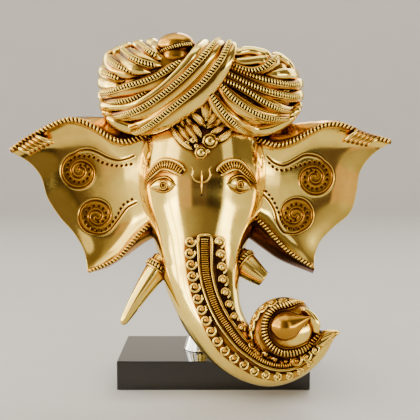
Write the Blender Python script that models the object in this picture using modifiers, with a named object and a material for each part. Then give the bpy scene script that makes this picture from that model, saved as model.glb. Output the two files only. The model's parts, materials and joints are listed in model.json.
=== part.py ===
"""Polished brass Ganesha mask held up on its own steel stand.

The mask is one hollow casting, open at the back. It faces -Y, with the viewer's right at +X.
The stand is a flat block, a turned foot and a straight rod that enters a boss in the mask.
The origin is the middle of the block's underside. All sizes are in metres.
"""
import math

import bmesh
import bpy
import numpy as np

OBJECT_NAME = "ganesha_mask"

# Stand
BLOCK_WIDTH = 0.225
BLOCK_DEPTH = 0.115
BLOCK_HEIGHT = 0.034
BLOCK_EDGE = 0.0008
FOOT_RADIUS = 0.022
FOOT_HEIGHT = 0.056
FOOT_LIP = 0.0015
ROD_RADIUS = 0.006
ROD_TOP_Z = 0.284
SEAT_GAP = 0.0003

# Mask, in its own frame whose X = 0 is the middle of the face
MASK_X = -0.015
BACK_Y = 0.012
WALL = 0.0035
FACE_FULLNESS = 2.2
BOSS_RADIUS = 0.012
BOSS_DEPTH = 0.040
RIB_WIDTH = 0.010
BORE_CLEARANCE = 0.0003

# Face and trunk, from under the turban to the trunk's pointed tip:
# x, z, half width, middle y, depth in front of the middle, depth behind it
TRUNK_SECTIONS = (
    (0.002, 0.350, 0.056, 0.012, 0.050, 0.002),
    (0.002, 0.312, 0.067, 0.012, 0.060, 0.002),
    (0.002, 0.280, 0.0745, 0.012, 0.066, 0.002),
    (0.0015, 0.249, 0.0785, 0.012, 0.068, 0.002),
    (0.001, 0.214, 0.0740, 0.012, 0.070, 0.002),
    (0.000, 0.179, 0.0610, 0.006, 0.070, 0.004),
    (0.000, 0.150, 0.0515, -0.010, 0.060, 0.010),
    (0.003, 0.122, 0.0440, -0.032, 0.046, 0.018),
    (0.014, 0.088, 0.0355, -0.054, 0.036, 0.024),
    (0.033, 0.061, 0.0300, -0.070, 0.030, 0.024),
    (0.055, 0.044, 0.0250, -0.080, 0.026, 0.022),
    (0.078, 0.037, 0.0215, -0.086, 0.023, 0.019),
    (0.100, 0.040, 0.0175, -0.089, 0.019, 0.016),
    (0.118, 0.050, 0.0120, -0.092, 0.014, 0.012),
    (0.134, 0.064, 0.0070, -0.095, 0.009, 0.008),
    (0.154, 0.079, 0.0015, -0.099, 0.002, 0.002),
)
HOLLOW_END = 11
# Lines of the trunk's ornament, as shares of its half width
BAND_RIMS = (-0.10, 0.23)
SCROLL_ROWS = (-0.33, 0.46)
BAND_START_Z = 0.176
SCROLL_PITCH = 0.0105
SCROLL_RADIUS = 0.0048

# Curl of the trunk round its ball
CURL_X, CURL_Z = 0.093, 0.076
CURL_Y = -0.082
CURL_RADIUS = 0.040
CURL_DEPTH = 0.034
CURL_BACK = 0.014
RING_X, RING_Z = 0.095, 0.083
RING_RADIUS = 0.027
RING_THICKNESS = 0.0045
RING_SINK = 0.010
RING_END = (0.133, 0.077)
BALL_X, BALL_Z = 0.096, 0.087
BALL_RADII = (0.020, 0.014, 0.0165)
BALL_POINT = ((0.110, 0.095), (0.121, 0.101))
BALL_POINT_RADII = (0.013, 0.003)
COIL_RADIUS = 0.0075
COIL_INSET = 0.006

# Turban: a rounded bag with rolls of cloth laid over it
TURBAN_Z = 0.351
TURBAN_HALF_WIDTH = 0.111
TURBAN_HALF_HEIGHT = 0.050
TURBAN_DEPTH = 0.064
TURBAN_PLAN_POWER = 2.6
TURBAN_RISE_POWER = 2.4
TURBAN_FULLNESS = 3.4
TURBAN_WALL = 0.0032
# Each roll: its thickness, how far it lies before the bag, whether each end turns to the
# back, and the line of its crest as x, z
ROLLS = (
    (0.0110, 0.004, True, True, ((-0.117, 0.322), (-0.096, 0.307), (-0.066, 0.308),
                                 (-0.034, 0.322), (-0.006, 0.344), (0.020, 0.372), (0.036, 0.396))),
    (0.0085, 0.003, True, True, ((-0.118, 0.330), (-0.086, 0.320), (-0.050, 0.331),
                                 (-0.016, 0.357), (0.008, 0.382), (0.022, 0.401))),
    (0.0080, 0.001, True, True, ((-0.118, 0.341), (-0.080, 0.334), (-0.044, 0.352),
                                 (-0.016, 0.379), (0.003, 0.403))),
    (0.0075, 0.000, True, False, ((-0.117, 0.350), (-0.084, 0.347), (-0.052, 0.361),
                                  (-0.022, 0.377))),
    (0.0075, 0.000, True, False, ((-0.115, 0.362), (-0.092, 0.357), (-0.062, 0.366))),
    (0.0080, 0.000, True, False, ((-0.113, 0.376), (-0.098, 0.366), (-0.078, 0.365))),
    (0.0080, 0.000, True, False, ((-0.105, 0.388), (-0.094, 0.374), (-0.066, 0.370))),
    (0.0080, 0.001, True, False, ((-0.092, 0.397), (-0.080, 0.382), (-0.050, 0.376))),
    (0.0080, 0.002, True, False, ((-0.075, 0.402), (-0.064, 0.390), (-0.044, 0.381))),
    (0.0070, 0.002, True, False, ((-0.058, 0.405), (-0.050, 0.395), (-0.040, 0.386))),
    (0.0105, 0.004, False, True, ((0.012, 0.338), (0.030, 0.314), (0.056, 0.303),
                                  (0.086, 0.305), (0.113, 0.320))),
    (0.0085, 0.003, False, True, ((0.020, 0.350), (0.048, 0.330), (0.080, 0.319),
                                  (0.114, 0.327))),
    (0.0085, 0.002, False, True, ((0.024, 0.364), (0.056, 0.348), (0.088, 0.333),
                                  (0.116, 0.336))),
    (0.0080, 0.001, False, True, ((0.030, 0.372), (0.066, 0.359), (0.098, 0.348),
                                  (0.117, 0.350))),
    (0.0080, 0.001, False, True, ((0.036, 0.378), (0.066, 0.370), (0.094, 0.362),
                                  (0.114, 0.364))),
    (0.0070, 0.001, False, True, ((0.040, 0.384), (0.062, 0.381), (0.080, 0.386),
                                  (0.088, 0.392))),
    (0.0070, 0.001, False, True, ((0.040, 0.392), (0.056, 0.393), (0.070, 0.394))),
    (0.0100, 0.001, False, True, ((0.080, 0.376), (0.094, 0.377), (0.106, 0.372))),
)
KNOT_X, KNOT_Z = -0.029, 0.394
KNOT_RADIUS = 0.021

# Ears. Each runs from the head outward along four rails: the outline's top, the beaded roll
# below it, the lower beaded roll and the outline's bottom. The outer edge closes the dish.
LEFT_EAR = {
    "top": ((-0.055, 0.316), (-0.100, 0.318), (-0.150, 0.3195), (-0.172, 0.315),
            (-0.204, 0.297), (-0.228, 0.279)),
    "rim": ((-0.055, 0.300), (-0.088, 0.289), (-0.107, 0.293), (-0.127, 0.306),
            (-0.147, 0.314), (-0.168, 0.312), (-0.204, 0.294), (-0.2285, 0.2775)),
    "low": ((-0.055, 0.196), (-0.076, 0.176), (-0.098, 0.151), (-0.119, 0.139),
            (-0.1375, 0.132)),
    "bottom": ((-0.040, 0.180), (-0.068, 0.166), (-0.094, 0.147), (-0.118, 0.133),
               (-0.138, 0.129)),
    "outer": ((-0.2285, 0.2775), (-0.206, 0.263), (-0.193, 0.246), (-0.186, 0.222),
              (-0.172, 0.199), (-0.154, 0.178), (-0.142, 0.156), (-0.1375, 0.132)),
    "inner": ((-0.055, 0.300), (-0.058, 0.248), (-0.055, 0.196)),
    "knot": ((-0.187, 0.301), (-0.213, 0.285)),
}
RIGHT_EAR = {
    "top": ((0.055, 0.308), (0.090, 0.309), (0.120, 0.312), (0.153, 0.3155), (0.172, 0.313),
            (0.198, 0.300), (0.228, 0.2905)),
    "rim": ((0.055, 0.296), (0.077, 0.288), (0.093, 0.285), (0.111, 0.290), (0.132, 0.301),
            (0.150, 0.309), (0.170, 0.308), (0.198, 0.297), (0.228, 0.2885)),
    "low": ((0.055, 0.206), (0.074, 0.190), (0.096, 0.166), (0.113, 0.152), (0.137, 0.137)),
    "bottom": ((0.040, 0.182), (0.060, 0.170), (0.079, 0.156), (0.099, 0.143), (0.138, 0.127)),
    "outer": ((0.228, 0.2885), (0.206, 0.273), (0.192, 0.253), (0.188, 0.228), (0.181, 0.204),
              (0.160, 0.185), (0.145, 0.169), (0.139, 0.154), (0.137, 0.137)),
    "inner": ((0.055, 0.296), (0.058, 0.250), (0.055, 0.206)),
    "knot": ((0.180, 0.304), (0.204, 0.296)),
}
EAR_SHEET = 0.0038
EAR_ROLL_RADIUS = 0.0046
EAR_RIM_Y = -0.014
EAR_EDGE_Y = 0.001
EAR_INNER_Y = -0.004
EAR_OUTER_Y = -0.012
EAR_DISH = 0.011
EAR_KNOT_RADIUS = 0.0082
EAR_KNOT_WRAP = 0.0027
EAR_KNOT_WRAPS = 4

# Tusks, as x, y, z
LEFT_TUSK = ((-0.046, -0.026, 0.146), (-0.056, -0.034, 0.134), (-0.072, -0.042, 0.112),
             (-0.092, -0.050, 0.079))
LEFT_TUSK_RADII = (0.0110, 0.0105, 0.0085, 0.0030)
RIGHT_TUSK = ((0.044, -0.026, 0.152), (0.058, -0.032, 0.140), (0.0735, -0.038, 0.1265))
RIGHT_TUSK_RADII = (0.0120, 0.0110, 0.0090)
COLLAR_RADIUS = 0.0135
COLLAR_THICKNESS = 0.0040

# Low relief on the face, as x, z
BROWS = (
    ((-0.065, 0.239), (-0.056, 0.257), (-0.040, 0.268), (-0.026, 0.265), (-0.020, 0.257)),
    ((0.064, 0.239), (0.056, 0.256), (0.041, 0.267), (0.028, 0.264), (0.022, 0.256)),
)
BROW_RADIUS = 0.0042
EYES = ((-0.0435, 0.2375), (0.046, 0.2375))
EYE_HALF_WIDTH = 0.0150
EYE_HALF_HEIGHT = 0.0062
LID_RADIUS = 0.0014
IRIS_RADIUS = 0.0050
MARK_FORK = ((-0.010, 0.259), (-0.008, 0.247), (0.001, 0.242), (0.010, 0.247), (0.011, 0.259))
MARK_STEM = ((0.0015, 0.256), (0.0010, 0.228))
MARK_RADIUS = 0.0013
CREST_LEAVES = (
    ((0.004, 0.338), (-0.012, 0.322), (-0.031, 0.303)),
    ((0.004, 0.334), (-0.008, 0.314), (-0.024, 0.295)),
    ((0.006, 0.336), (0.000, 0.314), (-0.012, 0.292)),
    ((0.010, 0.338), (0.007, 0.316), (0.002, 0.296)),
    ((0.013, 0.334), (0.022, 0.319), (0.033, 0.307)),
    ((0.013, 0.326), (0.022, 0.310), (0.030, 0.297)),
)
CREST_LEAF_RADIUS = 0.0042
CREST_STONES = ((0.0115, 0.289, 0.0088), (0.0000, 0.2745, 0.0070), (-0.009, 0.289, 0.0048))

# How the casting's skin is made
VOXEL = 0.0014
SKIN_SHARE = 0.0145
HOLLOW_ROW_STEP = 3
CURVE_STEP = 0.004
CUT_MARGIN = 0.020


def clear_scene():
    """Remove every object that the file starts with."""
    for old in list(bpy.data.objects):
        bpy.data.objects.remove(old, do_unlink=True)


def collection(name):
    """A new collection of the scene."""
    group = bpy.data.collections.new(name)
    bpy.context.scene.collection.children.link(group)
    return group


def material(name, colour, roughness):
    """A polished metal as a Principled material."""
    made = bpy.data.materials.new(name)
    made.use_nodes = True
    shader = made.node_tree.nodes["Principled BSDF"]
    shader.inputs["Base Color"].default_value = (*colour, 1.0)
    shader.inputs["Metallic"].default_value = 1.0
    shader.inputs["Roughness"].default_value = roughness
    return made


def add_object(name, mesh, group, finish=None):
    """Put a mesh into the scene as a named object."""
    thing = bpy.data.objects.new(name, mesh)
    group.objects.link(thing)
    if finish:
        thing.data.materials.append(finish)
    return thing


def hide_cutter(thing):
    """Mark an object as a cutter that isn't part of the model."""
    thing.hide_render = True
    thing.display_type = "WIRE"
    return thing


# Curves and sections

def smooth_line(points, step=CURVE_STEP, measured=3):
    """Evenly spaced rows on a smooth curve through the given rows.

    The length is measured in the first columns only, so a row may also hold widths.
    """
    rows = np.asarray(points, float)
    padded = np.vstack([2 * rows[0] - rows[1], rows, 2 * rows[-1] - rows[-2]])
    share = np.linspace(0, 1, 24, endpoint=False)[:, None]
    dense = []
    for before, start, end, after in zip(padded, padded[1:], padded[2:], padded[3:]):
        dense.append(0.5 * (2 * start + (end - before) * share
                            + (2 * before - 5 * start + 4 * end - after) * share ** 2
                            + (3 * start - before - 3 * end + after) * share ** 3))
    dense = np.vstack(dense + [rows[-1:]])
    travel = np.linalg.norm(np.diff(dense[:, :measured], axis=0), axis=1)
    travel = np.concatenate([[0.0], np.cumsum(travel)])
    count = max(3, int(round(travel[-1] / step)) + 1)
    places = np.linspace(0, travel[-1], count)
    return np.column_stack([np.interp(places, travel, column) for column in dense.T])


def trunk_spine(step=CURVE_STEP):
    """Rows of the face and trunk, and the direction across each one in X and Z."""
    rows = smooth_line(TRUNK_SECTIONS, step, measured=2)
    along = np.gradient(rows[:, :2], axis=0)
    along /= np.linalg.norm(along, axis=1)[:, None]
    across = np.column_stack([-along[:, 1], along[:, 0]])
    return rows, across


def trunk_surface(rows, across, share, lift=0.0):
    """Points on the trunk's front at a share of its half width, raised by lift."""
    x, z, half, middle, front = rows[:, :5].T
    depth = (1 - abs(share) ** FACE_FULLNESS) ** (1 / FACE_FULLNESS)
    return np.column_stack([x + across[:, 0] * half * share, middle - (front * depth + lift),
                            z + across[:, 1] * half * share])


SPINE, ACROSS = trunk_spine()
UPRIGHT = SPINE[SPINE[:, 1] > TRUNK_SECTIONS[7][1]]


def face_y(x, z):
    """Y of the face's front at a place seen from the front."""
    place = -UPRIGHT[:, 1]
    middle_x, half, middle, front = (np.interp(-z, place, UPRIGHT[:, column])
                                     for column in (0, 2, 3, 4))
    share = min(abs(x - middle_x) / half, 0.97)
    return middle - front * (1 - share ** FACE_FULLNESS) ** (1 / FACE_FULLNESS)


def turban_y(x, z):
    """Y of the turban's bag at a place seen from the front."""
    spread = (abs(x) / TURBAN_HALF_WIDTH) ** TURBAN_PLAN_POWER
    spread += (abs(z - TURBAN_Z) / TURBAN_HALF_HEIGHT) ** TURBAN_RISE_POWER
    spread = min(math.sqrt(spread), 0.985)
    return BACK_Y - TURBAN_DEPTH * (1 - spread ** TURBAN_FULLNESS) ** (1 / TURBAN_FULLNESS)


# Closed shells that make up the casting

def mesh_from(verts, faces):
    """A mesh whose faces all point out."""
    form = bmesh.new()
    corners = [form.verts.new(place) for place in verts]
    for face in faces:
        form.faces.new([corners[index] for index in face])
    bmesh.ops.recalc_face_normals(form, faces=form.faces)
    mesh = bpy.data.meshes.new("shell")
    form.to_mesh(mesh)
    form.free()
    return mesh


def loft(rings):
    """A closed shell through rings of equal counts, with flat ends."""
    rings = [np.asarray(ring) for ring in rings]
    count = len(rings[0])
    faces = [tuple(range(count)), tuple(range((len(rings) - 1) * count, len(rings) * count))]
    for level in range(len(rings) - 1):
        for index in range(count):
            after = (index + 1) % count
            faces.append((level * count + index, level * count + after,
                          (level + 1) * count + after, (level + 1) * count + index))
    return mesh_from(np.vstack(rings), faces)


def tube(points, radii):
    """A round bar along a line, with closed ends, as a mesh."""
    line = bpy.data.curves.new("bar", "CURVE")
    line.dimensions = "3D"
    line.bevel_depth = 1.0
    line.bevel_resolution = 2
    line.use_fill_caps = True
    spline = line.splines.new("POLY")
    spline.points.add(len(points) - 1)
    for point, place, radius in zip(spline.points, points, radii):
        point.co = (*place, 1.0)
        point.radius = radius
    bar = bpy.data.objects.new("bar", line)
    bpy.context.scene.collection.objects.link(bar)
    bpy.context.view_layer.update()
    evaluated = bar.evaluated_get(bpy.context.evaluated_depsgraph_get())
    mesh = bpy.data.meshes.new_from_object(evaluated)
    bpy.data.objects.remove(bar)
    weld = bmesh.new()
    weld.from_mesh(mesh)
    bmesh.ops.remove_doubles(weld, verts=weld.verts, dist=0.00001)
    weld.to_mesh(mesh)
    weld.free()
    return mesh


def even_tube(points, radius):
    """A bar of one thickness along a smooth line, rounded off at both ends."""
    line = smooth_line(points)
    radii = np.full(len(line), radius)
    radii[[0, -1]] = radius * 0.6
    return tube(line, radii)


def ellipsoid(centre, radii):
    """A closed egg shape."""
    form = bmesh.new()
    bmesh.ops.create_uvsphere(form, u_segments=24, v_segments=16, radius=1.0)
    bmesh.ops.scale(form, vec=radii, verts=form.verts)
    bmesh.ops.translate(form, vec=centre, verts=form.verts)
    mesh = bpy.data.meshes.new("egg")
    form.to_mesh(mesh)
    form.free()
    return mesh


def trunk_ring(row, across, inset, to_back):
    """One section of the face or trunk. The hollow's sections run straight out to the back."""
    x, z, half, middle, front, behind = row
    half = half - inset
    ring = []
    for angle in np.linspace(0, math.pi, 15 if to_back else 25):
        side = math.copysign(abs(math.cos(angle)) ** (2 / FACE_FULLNESS), math.cos(angle))
        depth = math.sin(angle) ** (2 / FACE_FULLNESS)
        ring.append((side * half, middle - (front - inset) * depth))
    if to_back:
        ring.extend([(-half, BACK_Y + CUT_MARGIN), (half, BACK_Y + CUT_MARGIN)])
    else:
        for angle in np.linspace(math.pi, 2 * math.pi, 13)[1:-1]:
            ring.append((math.cos(angle) * half, middle - behind * math.sin(angle)))
    return [(x + across[0] * side, y, z + across[1] * side) for side, y in ring]


def head_and_trunk():
    """The face with the trunk that grows out of it."""
    return loft([trunk_ring(row, side, 0.0, False) for row, side in zip(SPINE, ACROSS)])


def turban_bag(shrink, to_back):
    """The turban's rounded bag, or the hollow inside it."""
    rings = []
    if to_back:
        rings.append((1.0, CUT_MARGIN))
    rings.extend((share, 0.0) for share in np.linspace(1.0, 0.1, 8 if to_back else 14))
    shell = []
    for share, beyond in rings:
        depth = (TURBAN_DEPTH - shrink) * (1 - share ** TURBAN_FULLNESS) ** (1 / TURBAN_FULLNESS)
        ring = []
        for angle in np.linspace(0, 2 * math.pi, 28 if to_back else 48, endpoint=False):
            side, rise = share * math.cos(angle), share * math.sin(angle)
            x = math.copysign(abs(side) ** (2 / TURBAN_PLAN_POWER), side)
            z = math.copysign(abs(rise) ** (2 / TURBAN_RISE_POWER), rise)
            ring.append((x * (TURBAN_HALF_WIDTH - shrink), BACK_Y + beyond - depth,
                         TURBAN_Z + z * (TURBAN_HALF_HEIGHT - shrink)))
        shell.append(ring)
    return loft(shell)


def turban_rolls():
    """The rolls of cloth over the bag, and the knot they are tied in."""
    for radius, lift, wraps_start, wraps_end, crest in ROLLS:
        line = [(x, turban_y(x, z) - lift, z) for x, z in crest]
        if wraps_start:
            line.insert(0, (line[0][0], BACK_Y, line[0][2]))
        if wraps_end:
            line.append((line[-1][0], BACK_Y, line[-1][2]))
        yield even_tube(line, radius)
    knot_y = turban_y(KNOT_X, KNOT_Z) + KNOT_RADIUS / 3
    yield ellipsoid((KNOT_X, knot_y, KNOT_Z), (KNOT_RADIUS, KNOT_RADIUS, KNOT_RADIUS * 0.95))


def curl_dome(shrink, to_back):
    """The trunk's round curl, or the hollow inside it."""
    back = CURL_Y + CURL_BACK + (CUT_MARGIN * 3 if to_back else 0.0)
    profile = [(CURL_RADIUS - shrink, back)]
    for angle in np.linspace(0, math.pi / 2, 7 if to_back else 12)[:-1]:
        profile.append(((CURL_RADIUS - shrink) * math.cos(angle),
                        CURL_Y - (CURL_DEPTH - shrink) * math.sin(angle)))
    turn = np.linspace(0, 2 * math.pi, 24 if to_back else 40, endpoint=False)
    return loft([[(CURL_X + radius * math.cos(a), y, CURL_Z + radius * math.sin(a)) for a in turn]
                 for radius, y in profile])


def curl_details():
    """The ring round the ball, the ball drawn out to a point, and the outer coil."""
    front = CURL_Y - CURL_DEPTH
    turn = np.radians(np.linspace(35, 330, 40))
    ring = [(RING_X + RING_RADIUS * math.cos(a), front + RING_SINK,
             RING_Z + RING_RADIUS * math.sin(a)) for a in turn]
    ring.append((RING_END[0], front + 2 * RING_SINK, RING_END[1]))
    line = smooth_line(ring)
    yield tube(line, np.full(len(line), RING_THICKNESS))
    ball_y = front + RING_SINK / 2
    yield ellipsoid((BALL_X, ball_y, BALL_Z), BALL_RADII)
    (bend_x, bend_z), (tip_x, tip_z) = BALL_POINT
    line = smooth_line([(BALL_X, ball_y, BALL_Z), (bend_x, ball_y, bend_z),
                        (tip_x, ball_y + RING_SINK / 2, tip_z)])
    yield tube(line, np.linspace(*BALL_POINT_RADII, len(line)))
    reach = CURL_RADIUS - COIL_INSET
    coil = [(CURL_X + reach * math.cos(a), CURL_Y - CURL_BACK, CURL_Z + reach * math.sin(a))
            for a in np.radians(np.linspace(15, 220, 24))]
    yield even_tube(coil, COIL_RADIUS)


def ear_grid(ear, columns, rows):
    """Places on an ear's surface, from its top edge to its bottom edge.

    The dish between the two beaded rolls is a patch between its four edges. The strips
    beyond the rolls run straight to the outline.
    """
    share = np.linspace(0, 1, columns)

    def rail(points, count_at=share):
        line = smooth_line(points, step=0.001, measured=2)
        places = np.linspace(0, 1, len(line))
        return np.column_stack([np.interp(count_at, places, line[:, axis]) for axis in (0, 1)])

    top, rim, low, bottom = (rail(ear[name]) for name in ("top", "rim", "low", "bottom"))
    down = np.linspace(0, 1, rows)
    inner, outer = rail(ear["inner"], down), rail(ear["outer"], down)
    grid = [(top, EAR_EDGE_Y + 0 * share), ((top + rim) / 2, (EAR_EDGE_Y + EAR_RIM_Y) / 2
                                            + 0 * share)]
    for index, v in enumerate(down):
        u = share[:, None]
        straight = (1 - v) * rim + v * low + (1 - u) * inner[index] + u * outer[index]
        corners = ((1 - v) * ((1 - u) * rim[0] + u * rim[-1])
                   + v * ((1 - u) * low[0] + u * low[-1]))
        side = (1 - share) * EAR_INNER_Y + share * EAR_OUTER_Y
        edge = (2 * v - 1) ** 4
        hollow = EAR_DISH * (1 - edge) * np.sin(math.pi * (0.15 + 0.7 * share))
        grid.append((straight - corners, edge * EAR_RIM_Y + (1 - edge) * side + hollow))
    grid.append(((low + bottom) / 2, (EAR_EDGE_Y + EAR_RIM_Y) / 2 + 0 * share))
    grid.append((bottom, EAR_EDGE_Y + 0 * share))
    return np.array([np.column_stack([place[:, 0], y, place[:, 1]]) for place, y in grid])


def ear_shell(ear):
    """The ear's sheet as a closed shell of even thickness."""
    grid = ear_grid(ear, 30, 22)
    rows, columns = grid.shape[:2]
    faces = [(r * columns + c, r * columns + c + 1, (r + 1) * columns + c + 1,
              (r + 1) * columns + c) for r in range(rows - 1) for c in range(columns - 1)]
    form = bpy.data.objects.new("ear", mesh_from(grid.reshape(-1, 3), faces))
    bpy.context.scene.collection.objects.link(form)
    solidify = form.modifiers.new("sheet", "SOLIDIFY")
    solidify.thickness = EAR_SHEET
    solidify.offset = 0.0
    bpy.context.view_layer.update()
    evaluated = form.evaluated_get(bpy.context.evaluated_depsgraph_get())
    mesh = bpy.data.meshes.new_from_object(evaluated)
    bpy.data.objects.remove(form)
    return mesh


def ear_rolls(ear):
    """The two rolls along an ear and the knot of wraps near its tip."""
    for name in ("rim", "low"):
        line = smooth_line(ear[name], measured=2)
        places = np.column_stack([line[:, 0], np.full(len(line), EAR_RIM_Y), line[:, 1]])
        yield tube(places, np.linspace(EAR_ROLL_RADIUS, EAR_ROLL_RADIUS * 0.7, len(places)))
    start, end = (np.array((x, EAR_RIM_Y, z)) for x, z in ear["knot"])
    axis = (end - start) / np.linalg.norm(end - start)
    side = np.array((axis[2], 0.0, -axis[0]))
    for share in np.linspace(0, 1, EAR_KNOT_WRAPS):
        middle = start + (end - start) * share
        size = EAR_KNOT_RADIUS * (1 - 0.25 * share)
        loop = [middle + size * (side * math.cos(a) - np.array((0, 1, 0)) * 0.8 * math.sin(a))
                + axis * 0.35 * size * math.cos(a)
                for a in np.linspace(0, 2 * math.pi, 17)]
        yield tube(loop, np.full(len(loop), EAR_KNOT_WRAP))
    yield tube([start, end], [EAR_KNOT_RADIUS * 0.8, EAR_KNOT_RADIUS * 0.5])


def tusk(points, radii, collar_at):
    """A tusk, or what is left of one, in its collar."""
    line = smooth_line(points)
    share = np.linspace(0, 1, len(line))
    yield tube(line, np.interp(share, np.linspace(0, 1, len(radii)), radii))
    middle = line[int(collar_at * (len(line) - 1))]
    axis = line[-1] - line[0]
    axis /= np.linalg.norm(axis)
    side = np.cross(axis, (0, 1, 0))
    side /= np.linalg.norm(side)
    other = np.cross(axis, side)
    loop = [middle + (COLLAR_RADIUS - COLLAR_THICKNESS / 2) * (side * math.cos(a)
                                                               + other * math.sin(a))
            for a in np.linspace(0, 2 * math.pi, 25)]
    yield tube(loop, np.full(len(loop), COLLAR_THICKNESS))


def on_face(points, lift=0.0):
    """Lay a line seen from the front onto the face."""
    return [(x, face_y(x, z) - lift, z) for x, z in points]


def face_relief():
    """Brows, eyes, the forked mark and the crest below the turban."""
    for brow in BROWS:
        line = smooth_line(on_face(brow))
        middle = np.sin(math.pi * np.linspace(0.12, 0.8, len(line)))
        yield tube(line, BROW_RADIUS * (0.35 + 0.65 * middle))
    for x, z in EYES:
        for rise in (1, -1):
            lid = [(x + EYE_HALF_WIDTH * s, z + rise * EYE_HALF_HEIGHT * (1 - s * s))
                   for s in np.linspace(-1, 1, 7)]
            yield even_tube(on_face(lid), LID_RADIUS)
        yield ellipsoid((x, face_y(x, z) + 0.001, z), (IRIS_RADIUS, 0.004, IRIS_RADIUS))
    for line in (MARK_FORK, MARK_STEM):
        yield even_tube(on_face(line), MARK_RADIUS)
    for leaf in CREST_LEAVES:
        yield even_tube(on_face(leaf), CREST_LEAF_RADIUS)
    for x, z, radius in CREST_STONES:
        yield ellipsoid((x, face_y(x, z), z), (radius, radius * 0.7, radius))


def trunk_relief():
    """The raised band down the trunk with a row of scrolls on each side."""
    start = int(np.argmax(SPINE[:, 1] < BAND_START_Z))
    end = len(SPINE) - 8
    rows, across = SPINE[start:end], ACROSS[start:end]
    for share in BAND_RIMS:
        yield even_tube(trunk_surface(rows, across, share), 0.0022)
    for share in SCROLL_ROWS:
        line = smooth_line(trunk_surface(rows, across, share), SCROLL_PITCH / 4)
        turns = 2 * math.pi * np.arange(len(line)) / 4
        yield tube(line, SCROLL_RADIUS * (0.78 + 0.22 * np.cos(turns)))


def joined(meshes, name):
    """Several shells in one mesh, which the skin then makes one body."""
    whole = bmesh.new()
    for mesh in meshes:
        whole.from_mesh(mesh)
        bpy.data.meshes.remove(mesh)
    mesh = bpy.data.meshes.new(name)
    whole.to_mesh(mesh)
    whole.free()
    return mesh


def cut(body, cutter, operation="DIFFERENCE"):
    """Cut one object with another, or join it on."""
    step = body.modifiers.new(cutter.name, "BOOLEAN")
    step.operation = operation
    step.solver = "EXACT"
    step.object = cutter


def mask_cutters(group):
    """What is taken out of the casting: its hollows and all that is behind its back."""
    hollow_rows = slice(6, int(np.argmax(SPINE[:, 0] > TRUNK_SECTIONS[HOLLOW_END][0])))
    head = loft([trunk_ring(row, side, WALL, True)
                 for row, side in zip(SPINE[hollow_rows][::HOLLOW_ROW_STEP],
                                      ACROSS[hollow_rows][::HOLLOW_ROW_STEP])])
    behind = bmesh.new()
    bmesh.ops.create_cube(behind, size=1.0)
    bmesh.ops.translate(behind, vec=(0, BACK_Y + 0.5, 0), verts=behind.verts)
    block = bpy.data.meshes.new("behind")
    behind.to_mesh(block)
    behind.free()
    forms = (("behind", block), ("head_hollow", head),
             ("turban_hollow", turban_bag(TURBAN_WALL, True)),
             ("curl_hollow", curl_dome(WALL, True)))
    return [hide_cutter(add_object(name, mesh, group)) for name, mesh in forms]


def cylinder(radius, bottom, top, segments):
    """An upright closed cylinder on the rod's axis."""
    form = bmesh.new()
    bmesh.ops.create_cone(form, cap_ends=True, segments=segments, radius1=radius,
                          radius2=radius, depth=top - bottom)
    bmesh.ops.translate(form, vec=(0, 0, (top + bottom) / 2), verts=form.verts)
    mesh = bpy.data.meshes.new("cylinder")
    form.to_mesh(mesh)
    form.free()
    return mesh


def boss(group):
    """The boss that the rod enters, with the rib that ties it to the face, and its bore."""
    top = ROD_TOP_Z + SEAT_GAP + WALL
    form = add_object("boss", cylinder(BOSS_RADIUS, top - BOSS_DEPTH, top, 32), group)
    rib = bmesh.new()
    bmesh.ops.create_cube(rib, size=1.0)
    front = face_y(0, top) + WALL / 2
    bmesh.ops.scale(rib, vec=(RIB_WIDTH, -front, BOSS_DEPTH - WALL), verts=rib.verts)
    bmesh.ops.translate(rib, vec=(0, front / 2, top - BOSS_DEPTH / 2), verts=rib.verts)
    mesh = bpy.data.meshes.new("rib")
    rib.to_mesh(mesh)
    rib.free()
    bore_radius = ROD_RADIUS + BORE_CLEARANCE
    bore = cylinder(bore_radius, top - BOSS_DEPTH - CUT_MARGIN, ROD_TOP_Z + SEAT_GAP, 32)
    return (hide_cutter(form), hide_cutter(add_object("rib", mesh, group)),
            hide_cutter(add_object("bore", bore, group)))


def build_mask(group, cutters, finish):
    """The whole casting as one body."""
    shells = [head_and_trunk(), turban_bag(0.0, False), curl_dome(0.0, False)]
    shells.extend(turban_rolls())
    shells.extend(curl_details())
    for ear in (LEFT_EAR, RIGHT_EAR):
        shells.append(ear_shell(ear))
        shells.extend(ear_rolls(ear))
    shells.extend(tusk(LEFT_TUSK, LEFT_TUSK_RADII, 0.18))
    shells.extend(tusk(RIGHT_TUSK, RIGHT_TUSK_RADII, 0.35))
    shells.extend(face_relief())
    shells.extend(trunk_relief())
    mask = add_object("mask", joined(shells, "mask"), group, finish)
    skin = mask.modifiers.new("skin", "REMESH")
    skin.mode = "VOXEL"
    skin.voxel_size = VOXEL
    lighter = mask.modifiers.new("lighter", "DECIMATE")
    lighter.ratio = SKIN_SHARE
    hollows = mask_cutters(cutters)
    for cutter in hollows:
        cut(mask, cutter)
    post, rib, bore = boss(cutters)
    cut(mask, post, "UNION")
    cut(mask, rib, "UNION")
    cut(mask, bore)
    mask.location.x = MASK_X
    for cutter in (*hollows, post, rib, bore):
        cutter.location.x = MASK_X
    return mask


def build_block(group, finish):
    """The polished block that everything stands on."""
    form = bmesh.new()
    bmesh.ops.create_cube(form, size=1.0)
    bmesh.ops.scale(form, vec=(BLOCK_WIDTH, BLOCK_DEPTH, BLOCK_HEIGHT), verts=form.verts)
    bmesh.ops.translate(form, vec=(0, 0, BLOCK_HEIGHT / 2), verts=form.verts)
    mesh = bpy.data.meshes.new("base_block")
    form.to_mesh(mesh)
    form.free()
    block = add_object("base_block", mesh, group, finish)
    edge = block.modifiers.new("edge", "BEVEL")
    edge.width = BLOCK_EDGE
    edge.segments = 2
    return block


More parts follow.
